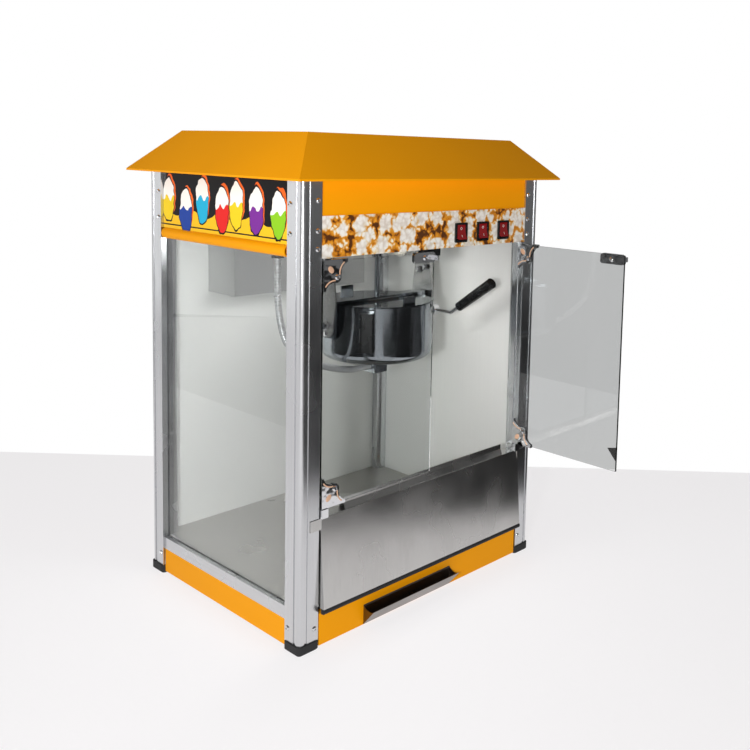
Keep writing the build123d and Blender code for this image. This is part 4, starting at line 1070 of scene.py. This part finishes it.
class POPCORN_OT_stage(bpy.types.Operator):
    """Camera, pale floor, white surround, softboxes and dark cards"""

    bl_idname = "popcorn.stage"
    bl_label = "Stage"

    def execute(self, context):
        scene = context.scene
        settings = scene.popcorn_stage
        scene.view_settings.view_transform = "Standard"
        camera = photo_camera()
        scene.collection.objects.link(camera)
        scene.camera = camera
        scene.world = white_surround(settings)

        # The floor's far edge is this far ahead of the camera
        far = 2.13
        side = 6.0
        ahead = Vector((math.sin(TURN), math.cos(TURN), 0))
        centre = Vector((EYE.x, EYE.y, 0)) + ahead * (far - side / 2)
        spin = Matrix.Rotation(-TURN, 4, "Z")
        place = Matrix.Translation(centre) @ spin
        add_sheet("floor", floor_board(settings), (side, side), place)

        add_lamp("key_softbox", settings.key, (0.1, 0.1), (-1.4, -1.1, 0.72), (0, 0.1, 0.4))
        add_lamp(
            "roof_softbox",
            settings.above,
            (0.7, 0.7),
            (-1.3, -0.1, 1.45),
            (0, 0.1, 0.7),
            mirrored=False,
        )
        add_lamp(
            "side_softbox",
            settings.side,
            (2.4, 1.4),
            (-1.9, 1.55, 0.747),
            (-0.2, 0.1, 0.497),
            lights=False,
        )
        add_lamp(
            "cabinet_lamp",
            settings.inside,
            (0.2, 0.12),
            (-0.06, 0.0, 0.575),
            (0.0, 0.2, 0.15),
            mirrored=False,
        )

        # Dark shapes that show only through glass, and one on the floor that metal reflects too
        felt = black_felt()
        slant = Matrix.Rotation(math.radians(-45), 4, "Z")
        floor_place = aim((1.146, -2.206, 0.002), (1.146, -2.206, 1)) @ slant
        for name, size, place, mirrored in (
            ("front_card", (8.0, 3.0), aim((0.5, -2.8, 1.4), (0.5, 0, 1.4)), False),
            ("left_card", (3.4, 2.2), aim((-0.9, 0.8, 1.0), (0, 0.8, 1.0)), False),
            ("floor_card", (2.9, 3.66), floor_place, True),
        ):
            card = add_sheet(name, felt, size, place)
            card.visible_camera = False
            card.visible_diffuse = False
            card.visible_glossy = mirrored
            card.visible_shadow = False
        return {"FINISHED"}


class POPCORN_PT_machine(bpy.types.Panel):
    """Steps and settings of the popcorn machine"""

    bl_idname = "POPCORN_PT_machine"
    bl_label = "Popcorn Machine"
    bl_space_type = "VIEW_3D"
    bl_region_type = "UI"
    bl_category = "Popcorn Machine"

    def draw(self, context):
        scene = context.scene
        for step in STEPS:
            self.layout.operator(step.bl_idname)
        for group in (scene.popcorn_colours, scene.popcorn_sizes, scene.popcorn_stage):
            box = self.layout.box()
            for name in group.__annotations__:
                box.prop(group, name)


STEPS = (
    POPCORN_OT_finishes,
    POPCORN_OT_post_screws,
    POPCORN_OT_door_caps,
    POPCORN_OT_hinge_inlays,
    POPCORN_OT_hanger_bolts,
    POPCORN_OT_switch_marks,
    POPCORN_OT_conduit,
    POPCORN_OT_stage,
)
CLASSES = (MachineColours, FittingSizes, StageSettings, *STEPS, POPCORN_PT_machine)


def register():
    """Register the classes and hang the settings on the scene."""
    for kind in CLASSES:
        bpy.utils.register_class(kind)
    bpy.types.Scene.popcorn_colours = bpy.props.PointerProperty(type=MachineColours)
    bpy.types.Scene.popcorn_sizes = bpy.props.PointerProperty(type=FittingSizes)
    bpy.types.Scene.popcorn_stage = bpy.props.PointerProperty(type=StageSettings)


def unregister():
    """Take the settings and the classes away again."""
    del bpy.types.Scene.popcorn_stage
    del bpy.types.Scene.popcorn_sizes
    del bpy.types.Scene.popcorn_colours
    for kind in reversed(CLASSES):
        bpy.utils.unregister_class(kind)


def main():
    """Build the dressed machine on its stage."""
    register()
    bpy.ops.popcorn.finishes()
    bpy.ops.popcorn.post_screws()
    bpy.ops.popcorn.door_caps()
    bpy.ops.popcorn.hinge_inlays()
    bpy.ops.popcorn.hanger_bolts()
    bpy.ops.popcorn.switch_marks()
    bpy.ops.popcorn.conduit()
    bpy.ops.popcorn.stage()


if __name__ == "__main__":
    main()
